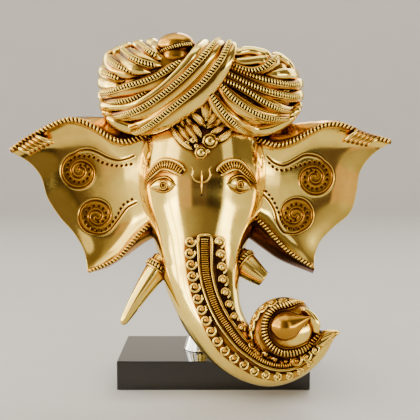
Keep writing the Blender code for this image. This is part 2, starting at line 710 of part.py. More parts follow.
def build_foot(group, finish):
    """The turned foot, wide below and drawn in to the rod."""
    bottom = BLOCK_HEIGHT + SEAT_GAP
    bore = ROD_RADIUS + BORE_CLEARANCE
    neck = ROD_RADIUS + FOOT_LIP
    profile = [(bore, bottom + FOOT_HEIGHT), (neck, bottom + FOOT_HEIGHT)]
    for share in np.linspace(0, 1, 10)[1:]:
        flare = share ** 1.35
        profile.append((neck + (FOOT_RADIUS - neck) * flare,
                        bottom + FOOT_HEIGHT * (1 - share)))
    profile.append((bore, bottom))
    mesh = bpy.data.meshes.new("post_foot")
    count = len(profile)
    mesh.from_pydata([(radius, 0, z) for radius, z in profile],
                     [(index, (index + 1) % count) for index in range(count)], [])
    foot = add_object("post_foot", mesh, group, finish)
    turn = foot.modifiers.new("turn", "SCREW")
    turn.steps = turn.render_steps = 40
    turn.use_merge_vertices = True
    turn.merge_threshold = 0.00001
    foot.location.x = MASK_X
    return foot


def build_rod(group, finish):
    """The straight rod from the block up into the mask's boss."""
    bottom = BLOCK_HEIGHT + SEAT_GAP
    rod = add_object("post_rod", cylinder(ROD_RADIUS, bottom, ROD_TOP_Z, 32), group, finish)
    rod.location.x = MASK_X
    return rod


def main():
    """Build the mask and its stand."""
    clear_scene()
    parts = collection(OBJECT_NAME)
    cutters = collection("cutters")
    brass = material("polished_brass", (0.80, 0.50, 0.13), 0.16)
    dark_steel = material("dark_polished_steel", (0.09, 0.08, 0.07), 0.18)
    chrome = material("chromed_steel", (0.78, 0.78, 0.77), 0.10)
    build_mask(parts, cutters, brass)
    build_block(parts, dark_steel)
    build_foot(parts, chrome)
    build_rod(parts, chrome)


main()
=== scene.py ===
"""Polished brass Ganesha mask on its stand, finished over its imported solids.

Run as a script, it makes every piece and the studio round it. All sizes are in metres. The
tables of places use the mask's own frame, whose X = 0 is the middle of the face.
"""

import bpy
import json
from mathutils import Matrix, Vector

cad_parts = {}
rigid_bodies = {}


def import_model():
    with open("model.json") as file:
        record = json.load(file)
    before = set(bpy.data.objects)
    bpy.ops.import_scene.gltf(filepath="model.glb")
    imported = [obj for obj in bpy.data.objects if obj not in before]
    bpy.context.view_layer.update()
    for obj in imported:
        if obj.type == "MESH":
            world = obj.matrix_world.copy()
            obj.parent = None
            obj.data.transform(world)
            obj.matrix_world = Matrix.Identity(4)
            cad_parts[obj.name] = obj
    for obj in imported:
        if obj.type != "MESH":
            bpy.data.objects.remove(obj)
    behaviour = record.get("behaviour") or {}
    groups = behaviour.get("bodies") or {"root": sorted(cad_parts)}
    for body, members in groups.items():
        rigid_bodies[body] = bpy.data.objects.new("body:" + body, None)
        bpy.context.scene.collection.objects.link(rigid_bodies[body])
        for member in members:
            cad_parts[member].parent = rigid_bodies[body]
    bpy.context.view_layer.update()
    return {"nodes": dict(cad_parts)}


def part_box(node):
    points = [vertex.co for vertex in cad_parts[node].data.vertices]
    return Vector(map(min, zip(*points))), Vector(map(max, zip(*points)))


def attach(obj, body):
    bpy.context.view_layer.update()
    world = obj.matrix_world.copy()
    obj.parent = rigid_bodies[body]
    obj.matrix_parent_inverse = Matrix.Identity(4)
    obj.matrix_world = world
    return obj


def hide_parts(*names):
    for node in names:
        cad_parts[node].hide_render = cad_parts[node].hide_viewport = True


bl_info = {
    "name": "Brass Ganesha mask",
    "version": (1, 0, 0),
    "blender": (4, 5, 0),
    "location": "3D View > Sidebar > Mask",
    "description": "Makes a polished brass mask on a stand, with its chased ornament",
    "category": "Add Mesh",
}

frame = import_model()

import json
import math
from functools import partial

import bmesh
import bpy
import numpy as np
from mathutils import Vector
from mathutils.bvhtree import BVHTree


def middle_of(node):
    """X and Y of a node's middle."""
    low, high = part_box(node)
    return (low[0] + high[0]) / 2, (low[1] + high[1]) / 2


def round_size(node):
    """Radius, bottom and top of a round upright node."""
    low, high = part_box(node)
    return (high[0] - low[0]) / 2, low[2], high[2]


def linear(code):
    """An sRGB hex colour as linear red, green and blue."""
    shares = [int(code[index:index + 2], 16) / 255 for index in (1, 3, 5)]
    return tuple(s / 12.92 if s <= 0.04045 else ((s + 0.055) / 1.055) ** 2.4 for s in shares)


# The mask's place comes from its rod
MASK_X, ROD_Y = middle_of("post_rod")
BACK_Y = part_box("mask")[1][1]
ROD_RADIUS, ROD_BOTTOM, ROD_TOP = round_size("post_rod")
FOOT_RADIUS, FOOT_BOTTOM, FOOT_TOP = round_size("post_foot")
# What the rod leaves free all round in the boss and the foot
CLEARANCE = 0.0003
TO_VIEWER = (0.0, -1.0, 0.0)

BRASS_PIECES = []
# The tone of small raised parts, which the buffing wheel keeps bright though they stand close
POLISHED = -0.5

# Face and trunk: x, z, half width, middle y, depth in front of the middle, depth behind it
TRUNK_SECTIONS = (
    (0.002, 0.35, 0.056, 0.012, 0.042, 0.002), (0.002, 0.312, 0.067, 0.012, 0.054, 0.002),
    (0.002, 0.28, 0.0745, 0.012, 0.0632, 0.002), (0.0015, 0.249, 0.0785, 0.012, 0.0682, 0.002),
    (0.001, 0.214, 0.074, 0.012, 0.07, 0.002), (0.000, 0.179, 0.061, 0.006, 0.07, 0.004),
    (0.000, 0.15, 0.0515, -0.01, 0.06, 0.01), (0.003, 0.122, 0.044, -0.032, 0.046, 0.018),
    (0.014, 0.088, 0.0355, -0.054, 0.036, 0.024), (0.033, 0.061, 0.03, -0.07, 0.03, 0.024),
    (0.055, 0.044, 0.025, -0.08, 0.026, 0.022), (0.078, 0.037, 0.0215, -0.086, 0.023, 0.019),
    (0.1, 0.041, 0.0185, -0.089, 0.02, 0.016), (0.117, 0.0525, 0.0165, -0.092, 0.017, 0.013),
    (0.131, 0.0665, 0.0135, -0.095, 0.013, 0.01), (0.144, 0.0765, 0.0062, -0.098, 0.007, 0.006),
    (0.1535, 0.0795, 0.0012, -0.099, 0.002, 0.002))

# Turban
TURBAN_Z = 0.351
TURBAN_HALF_WIDTH = 0.111
TURBAN_HALF_HEIGHT = 0.050
TURBAN_DEPTH = 0.064
TURBAN_PLAN_POWER = 3.2
TURBAN_RISE_POWER = 3.0
TURBAN_FULLNESS = 3.4
# Each fold of cloth: how far its crest stands before the bag, where its stitched row lies as a
# share of its half width (None where it has none), whether each end turns to the back, and its
# middle line as x, z, half width
FOLDS = (
    (0.008, None, True, False, ((-0.122, 0.3596, 0.004), (-0.1159, 0.3562, 0.0055),
     (-0.1021, 0.3522, 0.0055), (-0.088, 0.3508, 0.004))),
    (0.0085, 0.2, True, False, ((-0.1207, 0.374, 0.0055), (-0.1156, 0.3698, 0.0069),
     (-0.1011, 0.3632, 0.0071), (-0.0861, 0.3564, 0.0048))),
    (0.009, 0.3, True, False, ((-0.1108, 0.394, 0.0059), (-0.1084, 0.385, 0.0077),
     (-0.0937, 0.3714, 0.0082), (-0.0756, 0.3637, 0.0058), (-0.0688, 0.3616, 0.0037))),
    (0.009, None, True, False, ((-0.103, 0.398, 0.0053), (-0.0994, 0.3867, 0.0069),
     (-0.0828, 0.3731, 0.0071), (-0.0638, 0.3673, 0.0053), (-0.0555, 0.3655, 0.0034))),
    (0.01, -0.3, True, False, ((-0.0925, 0.402, 0.0063), (-0.0883, 0.3925, 0.0084),
     (-0.0726, 0.3804, 0.009), (-0.0555, 0.3749, 0.0069), (-0.0438, 0.3736, 0.004))),
    (0.0095, -0.35, True, False, ((-0.0785, 0.4055, 0.0059), (-0.0711, 0.399, 0.0079),
     (-0.0561, 0.388, 0.0074), (-0.0439, 0.3804, 0.004))),
    (0.009, None, True, False, ((-0.0605, 0.407, 0.0053), (-0.0538, 0.401, 0.0066),
     (-0.0445, 0.3915, 0.0045))),
    (0.0085, 0.0, True, False, ((-0.1215, 0.3432, 0.0034), (-0.1177, 0.3372, 0.0042),
     (-0.1108, 0.3357, 0.0048), (-0.094, 0.3338, 0.0046), (-0.076, 0.3356, 0.0046),
     (-0.064, 0.3419, 0.004), (-0.0556, 0.3468, 0.0028))),
    (0.0095, 0.4, True, False, ((-0.1142, 0.3449, 0.0034), (-0.0991, 0.3439, 0.0046),
     (-0.0827, 0.3475, 0.0064), (-0.0656, 0.351, 0.008), (-0.0489, 0.3569, 0.0088),
     (-0.034, 0.3655, 0.008), (-0.0224, 0.3749, 0.0056), (-0.0158, 0.3805, 0.0034))),
    (0.0105, None, True, True, ((-0.12, 0.329, 0.0034), (-0.1009, 0.3285, 0.0036),
     (-0.0761, 0.3293, 0.0036), (-0.0589, 0.3376, 0.0036), (-0.0438, 0.3485, 0.0036),
     (-0.0306, 0.3604, 0.0038), (-0.0157, 0.3756, 0.0042), (-0.0043, 0.3899, 0.005),
     (0.0046, 0.403, 0.0046))),
    (0.013, 0.3, True, True, ((-0.1195, 0.3215, 0.0052), (-0.1009, 0.3203, 0.0062),
     (-0.0765, 0.3209, 0.0068), (-0.0578, 0.3273, 0.0084), (-0.0405, 0.3382, 0.0091),
     (-0.0259, 0.3496, 0.0096), (-0.0099, 0.3642, 0.0091), (0.0041, 0.379, 0.0084),
     (0.017, 0.393, 0.0072), (0.0235, 0.402, 0.005))),
    (0.015, 0.45, True, True, ((-0.116, 0.3118, 0.0064), (-0.0982, 0.3068, 0.0088),
     (-0.0775, 0.3058, 0.0103), (-0.0561, 0.3095, 0.0112), (-0.0346, 0.319, 0.0112),
     (-0.0178, 0.3299, 0.0112), (0.0019, 0.3453, 0.0119), (0.0164, 0.3616, 0.011),
     (0.028, 0.3785, 0.0084), (0.0355, 0.396, 0.0052))),
    (0.007, None, False, True, ((0.031, 0.38, 0.003), (0.0388, 0.3782, 0.0038),
     (0.0521, 0.3775, 0.0042), (0.0656, 0.38, 0.0042), (0.074, 0.379, 0.003))),
    (0.007, None, False, True, ((0.031, 0.388, 0.0036), (0.0389, 0.387, 0.0042),
     (0.0517, 0.3915, 0.0046), (0.0661, 0.39, 0.0046), (0.076, 0.385, 0.0036))),
    (0.0065, None, False, True, ((0.076, 0.38, 0.004), (0.088, 0.3855, 0.006),
     (0.101, 0.38, 0.0056), (0.106, 0.371, 0.004))),
    (0.0095, 0.1, False, True, ((0.028, 0.377, 0.003), (0.0371, 0.373, 0.0038),
     (0.0487, 0.3677, 0.0042), (0.0603, 0.3662, 0.0048), (0.0721, 0.3701, 0.0048),
     (0.084, 0.38, 0.0036))),
    (0.0085, None, False, True, ((0.0729, 0.364, 0.0036), (0.084, 0.364, 0.0052),
     (0.0983, 0.3655, 0.0056), (0.1109, 0.367, 0.0046))),
    (0.009, 0.2, False, True, ((0.026, 0.3735, 0.003), (0.0354, 0.3696, 0.0038),
     (0.0487, 0.3639, 0.0044), (0.0653, 0.358, 0.005), (0.084, 0.3538, 0.0051),
     (0.1041, 0.3528, 0.0048), (0.116, 0.357, 0.0036))),
    (0.01, 0.1, False, True, ((0.02, 0.369, 0.0036), (0.0288, 0.3646, 0.0042),
     (0.042, 0.3577, 0.0046), (0.0603, 0.3492, 0.0054), (0.0805, 0.3425, 0.0054),
     (0.1023, 0.3398, 0.005), (0.117, 0.3431, 0.0036))),
    (0.0105, -0.2, False, True, ((0.019, 0.361, 0.0036), (0.0272, 0.3572, 0.0044),
     (0.0404, 0.3515, 0.0048), (0.0537, 0.345, 0.0054), (0.0688, 0.3354, 0.0058),
     (0.0863, 0.3277, 0.0054), (0.106, 0.3265, 0.0048), (0.118, 0.33, 0.0036))),
    (0.013, 0.15, False, True, ((0.0195, 0.356, 0.0044), (0.0263, 0.3463, 0.0064),
     (0.0354, 0.3358, 0.008), (0.0495, 0.3261, 0.0087), (0.0658, 0.3191, 0.0078),
     (0.0838, 0.3169, 0.0066), (0.104, 0.319, 0.0052), (0.1165, 0.3249, 0.0038))),
    (0.014, 0.15, False, True, ((0.006, 0.346, 0.004), (0.0143, 0.3364, 0.0058),
     (0.023, 0.3235, 0.007), (0.0374, 0.3116, 0.0077), (0.0573, 0.304, 0.0087),
     (0.0772, 0.302, 0.0087), (0.0978, 0.3075, 0.007), (0.112, 0.3162, 0.005))),
)
# How much wider each fold is made than it shows, and over how many rows an end is tucked away
FOLD_OVERLAP = 1.20
WRAPPED_HALF = 0.0072
TUCK_STEPS = 6
# How far out on the bag a fold may lie, at two heights
REACH_Z, FOLD_REACH = (0.372, 0.392), (1.05, 1.10)
KNOT_X, KNOT_Z = -0.029, 0.392
KNOT_BAND = (
    (-0.049, 0.387), (-0.042, 0.3915), (-0.032, 0.3945), (-0.021, 0.397), (-0.011, 0.3985))

# Ears, as rails that run from the head outward. A chased spiral has its centre, outer radius,
# turn (1 for counter-clockwise) and the tail that leads into it; dots run beside it
LEFT_EAR = {
    "top": ((-0.055, 0.316), (-0.1, 0.318), (-0.15, 0.3195), (-0.172, 0.315), (-0.204, 0.297),
     (-0.228, 0.279)),
    "rim": ((-0.055, 0.3), (-0.088, 0.289), (-0.107, 0.293), (-0.127, 0.306), (-0.147, 0.314),
     (-0.168, 0.312), (-0.204, 0.294), (-0.2285, 0.2775)),
    "low": ((-0.055, 0.196), (-0.076, 0.176), (-0.098, 0.151), (-0.119, 0.139), (-0.1375, 0.132)),
    "bottom": ((-0.04, 0.18), (-0.068, 0.166), (-0.094, 0.147), (-0.118, 0.133), (-0.138, 0.129)),
    "outer": ((-0.2285, 0.2775), (-0.206, 0.263), (-0.193, 0.246), (-0.186, 0.222),
     (-0.172, 0.199), (-0.154, 0.178), (-0.142, 0.156), (-0.1375, 0.132)),
    "inner": ((-0.055, 0.3), (-0.058, 0.248), (-0.055, 0.196)),
    "knot": ((-0.187, 0.2915), (-0.2105, 0.2785)),
    "spirals": (
        ((-0.1485, 0.2539), 0.0215, 1, ((-0.081, 0.2717), (-0.089, 0.2684), (-0.0996, 0.2664),
         (-0.1128, 0.2697), (-0.1258, 0.2763))),
        ((-0.1282, 0.1977), 0.0208, -1, ((-0.079, 0.2149), (-0.0896, 0.209), (-0.0963, 0.201),
         (-0.1031, 0.1917), (-0.1111, 0.1817)))),
    "dots": (
        ((-0.0845, 0.2618), (-0.0977, 0.2598), (-0.1083, 0.2605), (-0.1207, 0.2644),
         (-0.1325, 0.271)),
        ((-0.0843, 0.2189), (-0.0956, 0.2116), (-0.1016, 0.201), (-0.1111, 0.1877))),
}
RIGHT_EAR = {
    "top": ((0.055, 0.308), (0.09, 0.309), (0.12, 0.312), (0.153, 0.3155), (0.172, 0.313),
     (0.198, 0.3), (0.228, 0.2905)),
    "rim": ((0.055, 0.296), (0.077, 0.288), (0.093, 0.285), (0.111, 0.29), (0.132, 0.301),
     (0.15, 0.309), (0.17, 0.308), (0.198, 0.297), (0.228, 0.2885)),
    "low": ((0.055, 0.206), (0.074, 0.19), (0.096, 0.166), (0.113, 0.152), (0.137, 0.137)),
    "bottom": ((0.04, 0.182), (0.06, 0.17), (0.079, 0.156), (0.099, 0.143), (0.138, 0.127)),
    "outer": ((0.228, 0.2885), (0.206, 0.273), (0.192, 0.253), (0.188, 0.228), (0.181, 0.204),
     (0.16, 0.185), (0.145, 0.169), (0.139, 0.154), (0.137, 0.137)),
    "inner": ((0.055, 0.296), (0.058, 0.25), (0.055, 0.206)),
    "knot": ((0.179, 0.296), (0.204, 0.2885)),
    "spirals": (
        ((0.1396, 0.246), 0.0215, -1, ((0.08, 0.271), (0.0894, 0.2631), (0.1012, 0.2605),
         (0.1157, 0.2671), (0.1248, 0.2723))),
        ((0.1163, 0.1997), 0.0208, 1, ((0.0751, 0.2255), (0.0831, 0.2169), (0.0898, 0.205),
         (0.0939, 0.1903), (0.1006, 0.1797)))),
    "dots": (
        ((0.0828, 0.2631), (0.0907, 0.2559), (0.1006, 0.2546), (0.1138, 0.2579),
         (0.1204, 0.2602)),
        ((0.079, 0.2288), (0.0877, 0.2185), (0.094, 0.2056), (0.0989, 0.193), (0.1021, 0.1866))),
}
EAR_RIM_Y = -0.014
EAR_EDGE_Y = 0.001
# Rows of places on the turned-back strip above the dish, and on the one below
STRIP_ROWS = 9
# The dish of an ear, as share of the way out from the head and Y
EAR_DISH = (
    (0.0, -0.01), (0.15, -0.004), (0.32, 0.001), (0.55, 0.003), (0.8, 0.001), (1.0, -0.008))
# Painted shade on an ear: how dark its strip above, its strip below, and its dish away from the
# head are coloured
EAR_SHADE_TONES = {"left": (0.26, 0.34, 0.06), "right": (0.30, 0.66, 0.0)}
# How a spiral's groove and its dots close in: degrees from its start, share of its radius
GROOVE_LAW = (
    (0, 1.0), (190, 1.0), (270, 0.92), (320, 0.76), (360, 0.6), (430, 0.46), (540, 0.41),
    (630, 0.35), (720, 0.24), (810, 0.12))
DOT_LAW = (
    (0, 0.92), (45, 0.84), (90, 0.74), (150, 0.68), (240, 0.65), (300, 0.6), (345, 0.5),
    (400, 0.3))

# Tusks, as x, y, z, radius
LEFT_TUSK = (
    (-0.044, -0.024, 0.146, 0.015), (-0.055, -0.032, 0.133, 0.0135),
    (-0.071, -0.042, 0.11, 0.0098), (-0.084, -0.048, 0.089, 0.0066), (-0.09, -0.05, 0.079, 0.0044),
    (-0.0915, -0.05, 0.0765, 0.0018))
RIGHT_TUSK = (
    (0.04, -0.022, 0.151, 0.017), (0.052, -0.028, 0.143, 0.016), (0.063, -0.034, 0.135, 0.0132),
    (0.0735, -0.0384, 0.1275, 0.0096), (0.0742, -0.0386, 0.127, 0.0088))

# Low relief on the face, as x, z
BROWS = (
    ((-0.0665, 0.233), (-0.0635, 0.243), (-0.0563, 0.252), (-0.0453, 0.2615), (-0.0338, 0.2612),
     (-0.0246, 0.2565), (-0.02, 0.2525)),
    ((0.066, 0.233), (0.0625, 0.243), (0.0553, 0.251), (0.0443, 0.261), (0.0328, 0.2608),
     (0.0248, 0.2555), (0.0215, 0.252)),
)
BROW_BREADTHS = (0.0010, 0.0028, 0.0046, 0.0062, 0.0068, 0.0064, 0.0044)
UPPER_LIDS = (
    ((-0.0614, 0.2345), (-0.0522, 0.2439), (-0.0408, 0.2475), (-0.0338, 0.2444),
     (-0.0275, 0.2385)),
    ((0.0295, 0.2395), (0.0368, 0.2467), (0.0459, 0.2493), (0.0541, 0.2439), (0.061, 0.231)),
)
LOWER_LIDS = (
    ((-0.059, 0.2352), (-0.0522, 0.2325), (-0.042, 0.2305), (-0.0338, 0.234), (-0.028, 0.2388)),
    ((0.03, 0.2398), (0.0363, 0.2341), (0.0448, 0.2298), (0.0524, 0.2318), (0.0585, 0.2345)),
)
CREASES = (
    ((-0.056, 0.249), (-0.05, 0.2535), (-0.04, 0.2545), (-0.031, 0.25)),
    ((0.034, 0.251), (0.042, 0.2548), (0.051, 0.253), (0.058, 0.2465), (0.064, 0.234)),
)
IRISES = ((-0.0420, 0.2383), (0.0455, 0.2390))
MARK_FORK = (
    (-0.0112, 0.26), (-0.0085, 0.257), (-0.009, 0.25), (-0.0055, 0.244), (0.0014, 0.2418),
    (0.008, 0.244), (0.0115, 0.25), (0.0105, 0.257), (0.0128, 0.26))
MARK_STEM = ((0.0018, 0.2560), (0.0014, 0.2275))
# Fronds of the crest as x, z, half width
CREST_FRONDS = (
    ((-0.0102, 0.3215, 0.003), (0.0003, 0.313, 0.004), (0.006, 0.304, 0.003)),
    ((0.019, 0.3236, 0.003), (0.0133, 0.3151, 0.0036), (0.0059, 0.3095, 0.003)),
    ((-0.0325, 0.3045, 0.0026), (-0.022, 0.2895, 0.0034), (-0.009, 0.2785, 0.0022)),
    ((-0.0275, 0.311, 0.0024), (-0.0178, 0.296, 0.0032), (-0.0105, 0.2865, 0.0022)),
    ((-0.0228, 0.315, 0.0024), (-0.012, 0.2995, 0.0032), (-0.0035, 0.2865, 0.0022)),
    ((-0.0165, 0.317, 0.0024), (-0.0058, 0.303, 0.0034), (0.0014, 0.2925, 0.0024)),
    ((0.036, 0.302, 0.0026), (0.025, 0.2922, 0.0034), (0.016, 0.289, 0.0022)),
    ((0.0305, 0.31, 0.0024), (0.0205, 0.3015, 0.0032), (0.011, 0.297, 0.0022)),
    ((0.0255, 0.317, 0.0024), (0.0168, 0.3095, 0.0032), (0.0075, 0.303, 0.0024)),
    ((0.0068, 0.34, 0.005), (0.007, 0.327, 0.0062), (0.0075, 0.313, 0.0036)),
)
CREST_STONES = (
    (0.0108, 0.2883, 0.0084, True), (0.0008, 0.2752, 0.0068, True),
    (-0.0084, 0.289, 0.0034, False), (-0.015, 0.2862, 0.0026, False),
    (-0.0045, 0.2825, 0.0026, False), (0.0085, 0.2768, 0.0024, False))

# Ornament of the trunk, as x, z along its length
BAND_RIMS = (
    ((0.005, 0.1825), (-0.001, 0.1815), (-0.0026, 0.177), (-0.0021, 0.165), (-0.0012, 0.1477),
     (0.0022, 0.1285), (0.0069, 0.1134), (0.0134, 0.0986), (0.0213, 0.0852), (0.0316, 0.072),
     (0.0419, 0.0612), (0.0534, 0.0529), (0.0648, 0.0458), (0.0775, 0.0412), (0.0904, 0.0399),
     (0.1033, 0.0422), (0.115, 0.0496)),
    ((0.005, 0.1825), (0.0115, 0.1815), (0.013, 0.177), (0.0128, 0.1606), (0.0135, 0.1411),
     (0.0174, 0.1233), (0.0233, 0.1082), (0.0305, 0.0947), (0.0396, 0.0825), (0.0485, 0.0717),
     (0.0575, 0.0633), (0.0651, 0.0574), (0.0752, 0.052), (0.0878, 0.0495), (0.1006, 0.0505),
     (0.112, 0.056)),
)
BAND_MIDDLE = (
    (0.005, 0.1775, 1.0), (0.0051, 0.1607, 1.0), (0.0062, 0.1413, 1.0), (0.01, 0.1245, 0.95),
    (0.0154, 0.109, 0.9), (0.0222, 0.0955, 0.85), (0.0306, 0.0838, 0.8), (0.0402, 0.0714, 0.76),
    (0.05, 0.062, 0.72), (0.06, 0.0545, 0.66), (0.0705, 0.0487, 0.6), (0.083, 0.0452, 0.55),
    (0.096, 0.0452, 0.5), (0.108, 0.049, 0.45))
LEFT_SCROLLS = (
    (-0.0112, 0.175, 1.0), (-0.0119, 0.1632, 1.0), (-0.0101, 0.1502, 1.0), (-0.0087, 0.1373, 1.0),
    (-0.0064, 0.1264, 1.0), (-0.0038, 0.1157, 0.95), (0.0000, 0.1045, 0.95),
    (0.0049, 0.0934, 0.95), (0.0102, 0.0823, 0.95), (0.016, 0.0726, 0.95), (0.0228, 0.0629, 0.9),
    (0.0312, 0.0548, 0.9), (0.0405, 0.0487, 0.9), (0.0508, 0.0425, 0.85), (0.0616, 0.0365, 0.85),
    (0.0731, 0.0335, 0.8), (0.0853, 0.032, 0.8), (0.0982, 0.0332, 0.75), (0.1099, 0.0385, 0.7),
    (0.1189, 0.0462, 0.6))
RIGHT_SCROLLS = (
    (0.0212, 0.174, 1.0), (0.0222, 0.1628, 1.0), (0.0235, 0.1483, 1.0), (0.0248, 0.1341, 1.0),
    (0.027, 0.1216, 0.95), (0.0303, 0.1103, 0.9), (0.0344, 0.0995, 0.85), (0.0395, 0.09, 0.8),
    (0.0455, 0.0815, 0.7))

# Curl of the trunk round its ball
CURL_X, CURL_Z, CURL_Y = 0.093, 0.076, -0.082
CURL_RADIUS, CURL_DEPTH, CURL_BACK = 0.040, 0.034, 0.014
CURL_RIDGE_RADIUS = 0.0285
# The ball, a drop with its tip to the upper right: x, z, radius
BALL_SPINE = (
    (0.0765, 0.0836, 0.0008), (0.0775, 0.0839, 0.0045), (0.08, 0.0848, 0.0093),
    (0.0845, 0.0862, 0.0134), (0.0905, 0.088, 0.0153), (0.0975, 0.09, 0.014),
    (0.1045, 0.0928, 0.0098), (0.1115, 0.0958, 0.0052), (0.1185, 0.0988, 0.001))
RING_LINE = (
    (0.116, 0.1075), (0.106, 0.1105), (0.095, 0.1088), (0.0845, 0.1065), (0.0755, 0.0995),
    (0.0712, 0.089), (0.0718, 0.078), (0.078, 0.068), (0.087, 0.0622), (0.097, 0.061),
    (0.108, 0.063), (0.118, 0.0675), (0.1265, 0.074), (0.132, 0.08))
LIP_LINE = (
    (0.111, 0.1035, 0.0016), (0.1165, 0.0995, 0.0036), (0.1215, 0.093, 0.0052),
    (0.1243, 0.0862, 0.0048), (0.124, 0.0795, 0.0022))
CURL_SCROLLS = (
    ((0.064, 0.056, 0.9), (0.0575, 0.064, 1.0), (0.056, 0.075, 1.1), (0.058, 0.086, 1.1),
     (0.0625, 0.096, 1.0), (0.07, 0.1045, 1.0), (0.08, 0.11, 0.9), (0.091, 0.1128, 0.8),
     (0.102, 0.1128, 0.7), (0.112, 0.109, 0.6)),
    ((0.072, 0.056, 1.0), (0.081, 0.051, 1.1), (0.092, 0.049, 1.1), (0.104, 0.05, 1.1),
     (0.115, 0.0545, 1.0), (0.125, 0.062, 0.9)),
)
TIP_RIDGES = (
    ((0.133, 0.0775), (0.14, 0.08), (0.147, 0.0805)),
    ((0.132, 0.0725), (0.14, 0.076), (0.1475, 0.0785)),
    ((0.133, 0.0665), (0.141, 0.071), (0.148, 0.0765)),
)

# The room that the metal mirrors: degrees from straight ahead, and brightness at eye level
ROOM_STRENGTH = 10.0
WINDOW, BAR = (9.6, 9.5, 8.6), (1.8, 1.7, 1.4)
DARK_LEFT, DARK_MIDDLE = (0.86, 0.58, 0.46), (0.13, 0.085, 0.09)
DARK_RIGHT = (0.04, 0.026, 0.030)
BEHIND = (10.0, 10.0, 10.0)
ROOM_LOW = (
    (-180, (0.55, 0.52, 0.47)), (-125, (0.9, 0.85, 0.72)), (-112, WINDOW), (-74, WINDOW),
    (-71, BAR), (-69, BAR), (-66, WINDOW), (-55, WINDOW), (-53, BAR), (-51, BAR), (-48, WINDOW),
    (-37, WINDOW), (-33, DARK_LEFT), (-14, DARK_LEFT), (-11, DARK_MIDDLE), (4, DARK_MIDDLE),
    (7, DARK_RIGHT), (30, DARK_RIGHT), (35, WINDOW), (78, WINDOW), (84, (1.3, 1.12, 0.78)),
    (130, (0.62, 0.56, 0.48)), (180, BEHIND))
ROOM_HIGH = (
    (-180, (0.5, 0.48, 0.43)), (-120, (2.0, 1.9, 1.6)), (-80, (5.0, 4.8, 4.2)),
    (-45, (1.8, 1.7, 1.5)), (-24, (0.62, 0.54, 0.42)), (4, (0.25, 0.19, 0.14)),
    (40, (0.19, 0.145, 0.11)), (110, (0.28, 0.23, 0.17)), (180, BEHIND))
ROOM_CEILING = (1.5, 1.45, 1.35)


# Settings that a user would change

def length(name, description, default, least=0.0):
    """A setting that holds a length in metres."""
    return bpy.props.FloatProperty(name=name, description=description, default=default,
                                   min=least, subtype="DISTANCE", unit="LENGTH")


def colour(name, description, code):
    """A setting that holds a colour, given as an sRGB hex value."""
    return bpy.props.FloatVectorProperty(name=name, description=description,
                                         default=linear(code), size=3, subtype="COLOR", min=0,
                                         max=1)


class MaskSizes(bpy.types.PropertyGroup):
    """Sizes of the casting."""
    wall: length("Wall", "Thickness of the brass", 0.0035, 0.001)
    fullness: bpy.props.FloatProperty(
        name="Face fullness", description="How square the face's section is", default=2.2, min=1.5)
    boss_radius: length("Boss radius", "Outer radius of the boss that the rod enters", 0.012)
    brow_rise: length("Brow rise", "How far the brows stand up", 0.0016)


class ClothSizes(bpy.types.PropertyGroup):
    """Sizes of the turban's folds."""
    stitch_pitch: length("Stitch pitch", "Distance between two stitches", 0.0035, 0.001)
    stitch_breadth: length("Stitch breadth", "Breadth of a stitched row", 0.006)
    rim: length("Hem radius", "Radius of the thin hems beside a stitched row", 0.00055)


class EarSizes(bpy.types.PropertyGroup):
    """Sizes of the ears."""
    sheet: length("Sheet", "Thickness of an ear", 0.0038)
    roll: length("Roll radius", "Radius of the rolled rim", 0.0042)
    rib_pitch: length("Rib pitch", "Distance between two ribs of the rim", 0.0046, 0.001)
    groove: length("Groove depth", "Depth of the chased spirals", 0.0007)
    dot_pitch: length("Dot pitch", "Distance between two punched dots", 0.0061, 0.002)


class TrunkSizes(bpy.types.PropertyGroup):
    """Sizes of the trunk's ornament."""
    rim: length("Band rim", "Radius of the rims of the trunk's band", 0.0017)
    rung_pitch: length("Rung pitch", "Distance between two rungs of the band", 0.0025, 0.001)
    scroll_pitch: length("Scroll pitch", "Distance between two scrolls", 0.0126, 0.004)
    scroll_radius: length("Scroll radius", "Outer radius of a scroll", 0.0064)


class Finishes(bpy.types.PropertyGroup):
    """Colours of the metals."""
    brass: colour("Polished brass", "Colour of the brass where it is polished", "#F9D96A")
    # The toned and recessed colours serve the chased grounds and also the painted shade of
    # recesses and of the ears' strips
    half_way: colour("Toned brass", "Colour of the brass where it starts to tone", "#CC9630")
    patina: colour("Recessed brass", "Colour of the brass in its recesses", "#76420C")
    ground: colour("Punched ground", "Colour at the bottom of punched marks", "#241004")
    block: colour("Dark steel", "Colour of the block", "#211E1A")
    chrome: colour("Chrome", "Colour of the post", "#E4E4E2")


class StudioSettings(bpy.types.PropertyGroup):
    """Light and floor of the studio."""
    floor: colour("Floor", "Colour of the floor", "#BCB8B2")
    light: bpy.props.FloatProperty(
        name="Light", description="Strength of all the lamps", default=1.0, min=0)


# Nodes

def add_node(tree, kind, inputs=None, **settings):
    """Add a node with its settings, and give its inputs their values or links."""
    made = tree.nodes.new(kind)
    for name, value in settings.items():
        setattr(made, name, value)
    feed(tree, made, inputs or {})
    return made


def feed(tree, node, inputs):
    """Give a node's inputs their values or links. A node given stands for its first output."""
    for key, value in inputs.items():
        if isinstance(value, bpy.types.Node):
            value = value.outputs[0]
        if isinstance(value, bpy.types.NodeSocket):
            tree.links.new(value, node.inputs[key])
        else:
            node.inputs[key].default_value = value


def ramp_of(tree, amount, stops):
    """A blend of colours over an amount, from places and colours in rising order."""
    made = add_node(tree, "ShaderNodeValToRGB", {"Fac": amount})
    ramp = made.color_ramp
    for place, shade in stops[1:-1]:
        ramp.elements.new(place)
    for stop, (place, shade) in zip(ramp.elements, stops):
        stop.position = place
    for stop, (place, shade) in zip(ramp.elements, stops):
        stop.color = (*shade, 1.0)
    return made.outputs["Color"]


def new_finish(name):
    """A material with nodes, its shader and its Object coordinates."""
    made = bpy.data.materials.new(name)
    made.use_nodes = True
    tree = made.node_tree
    place = add_node(tree, "ShaderNodeTexCoord").outputs["Object"]
    return made, tree, tree.nodes["Principled BSDF"], place


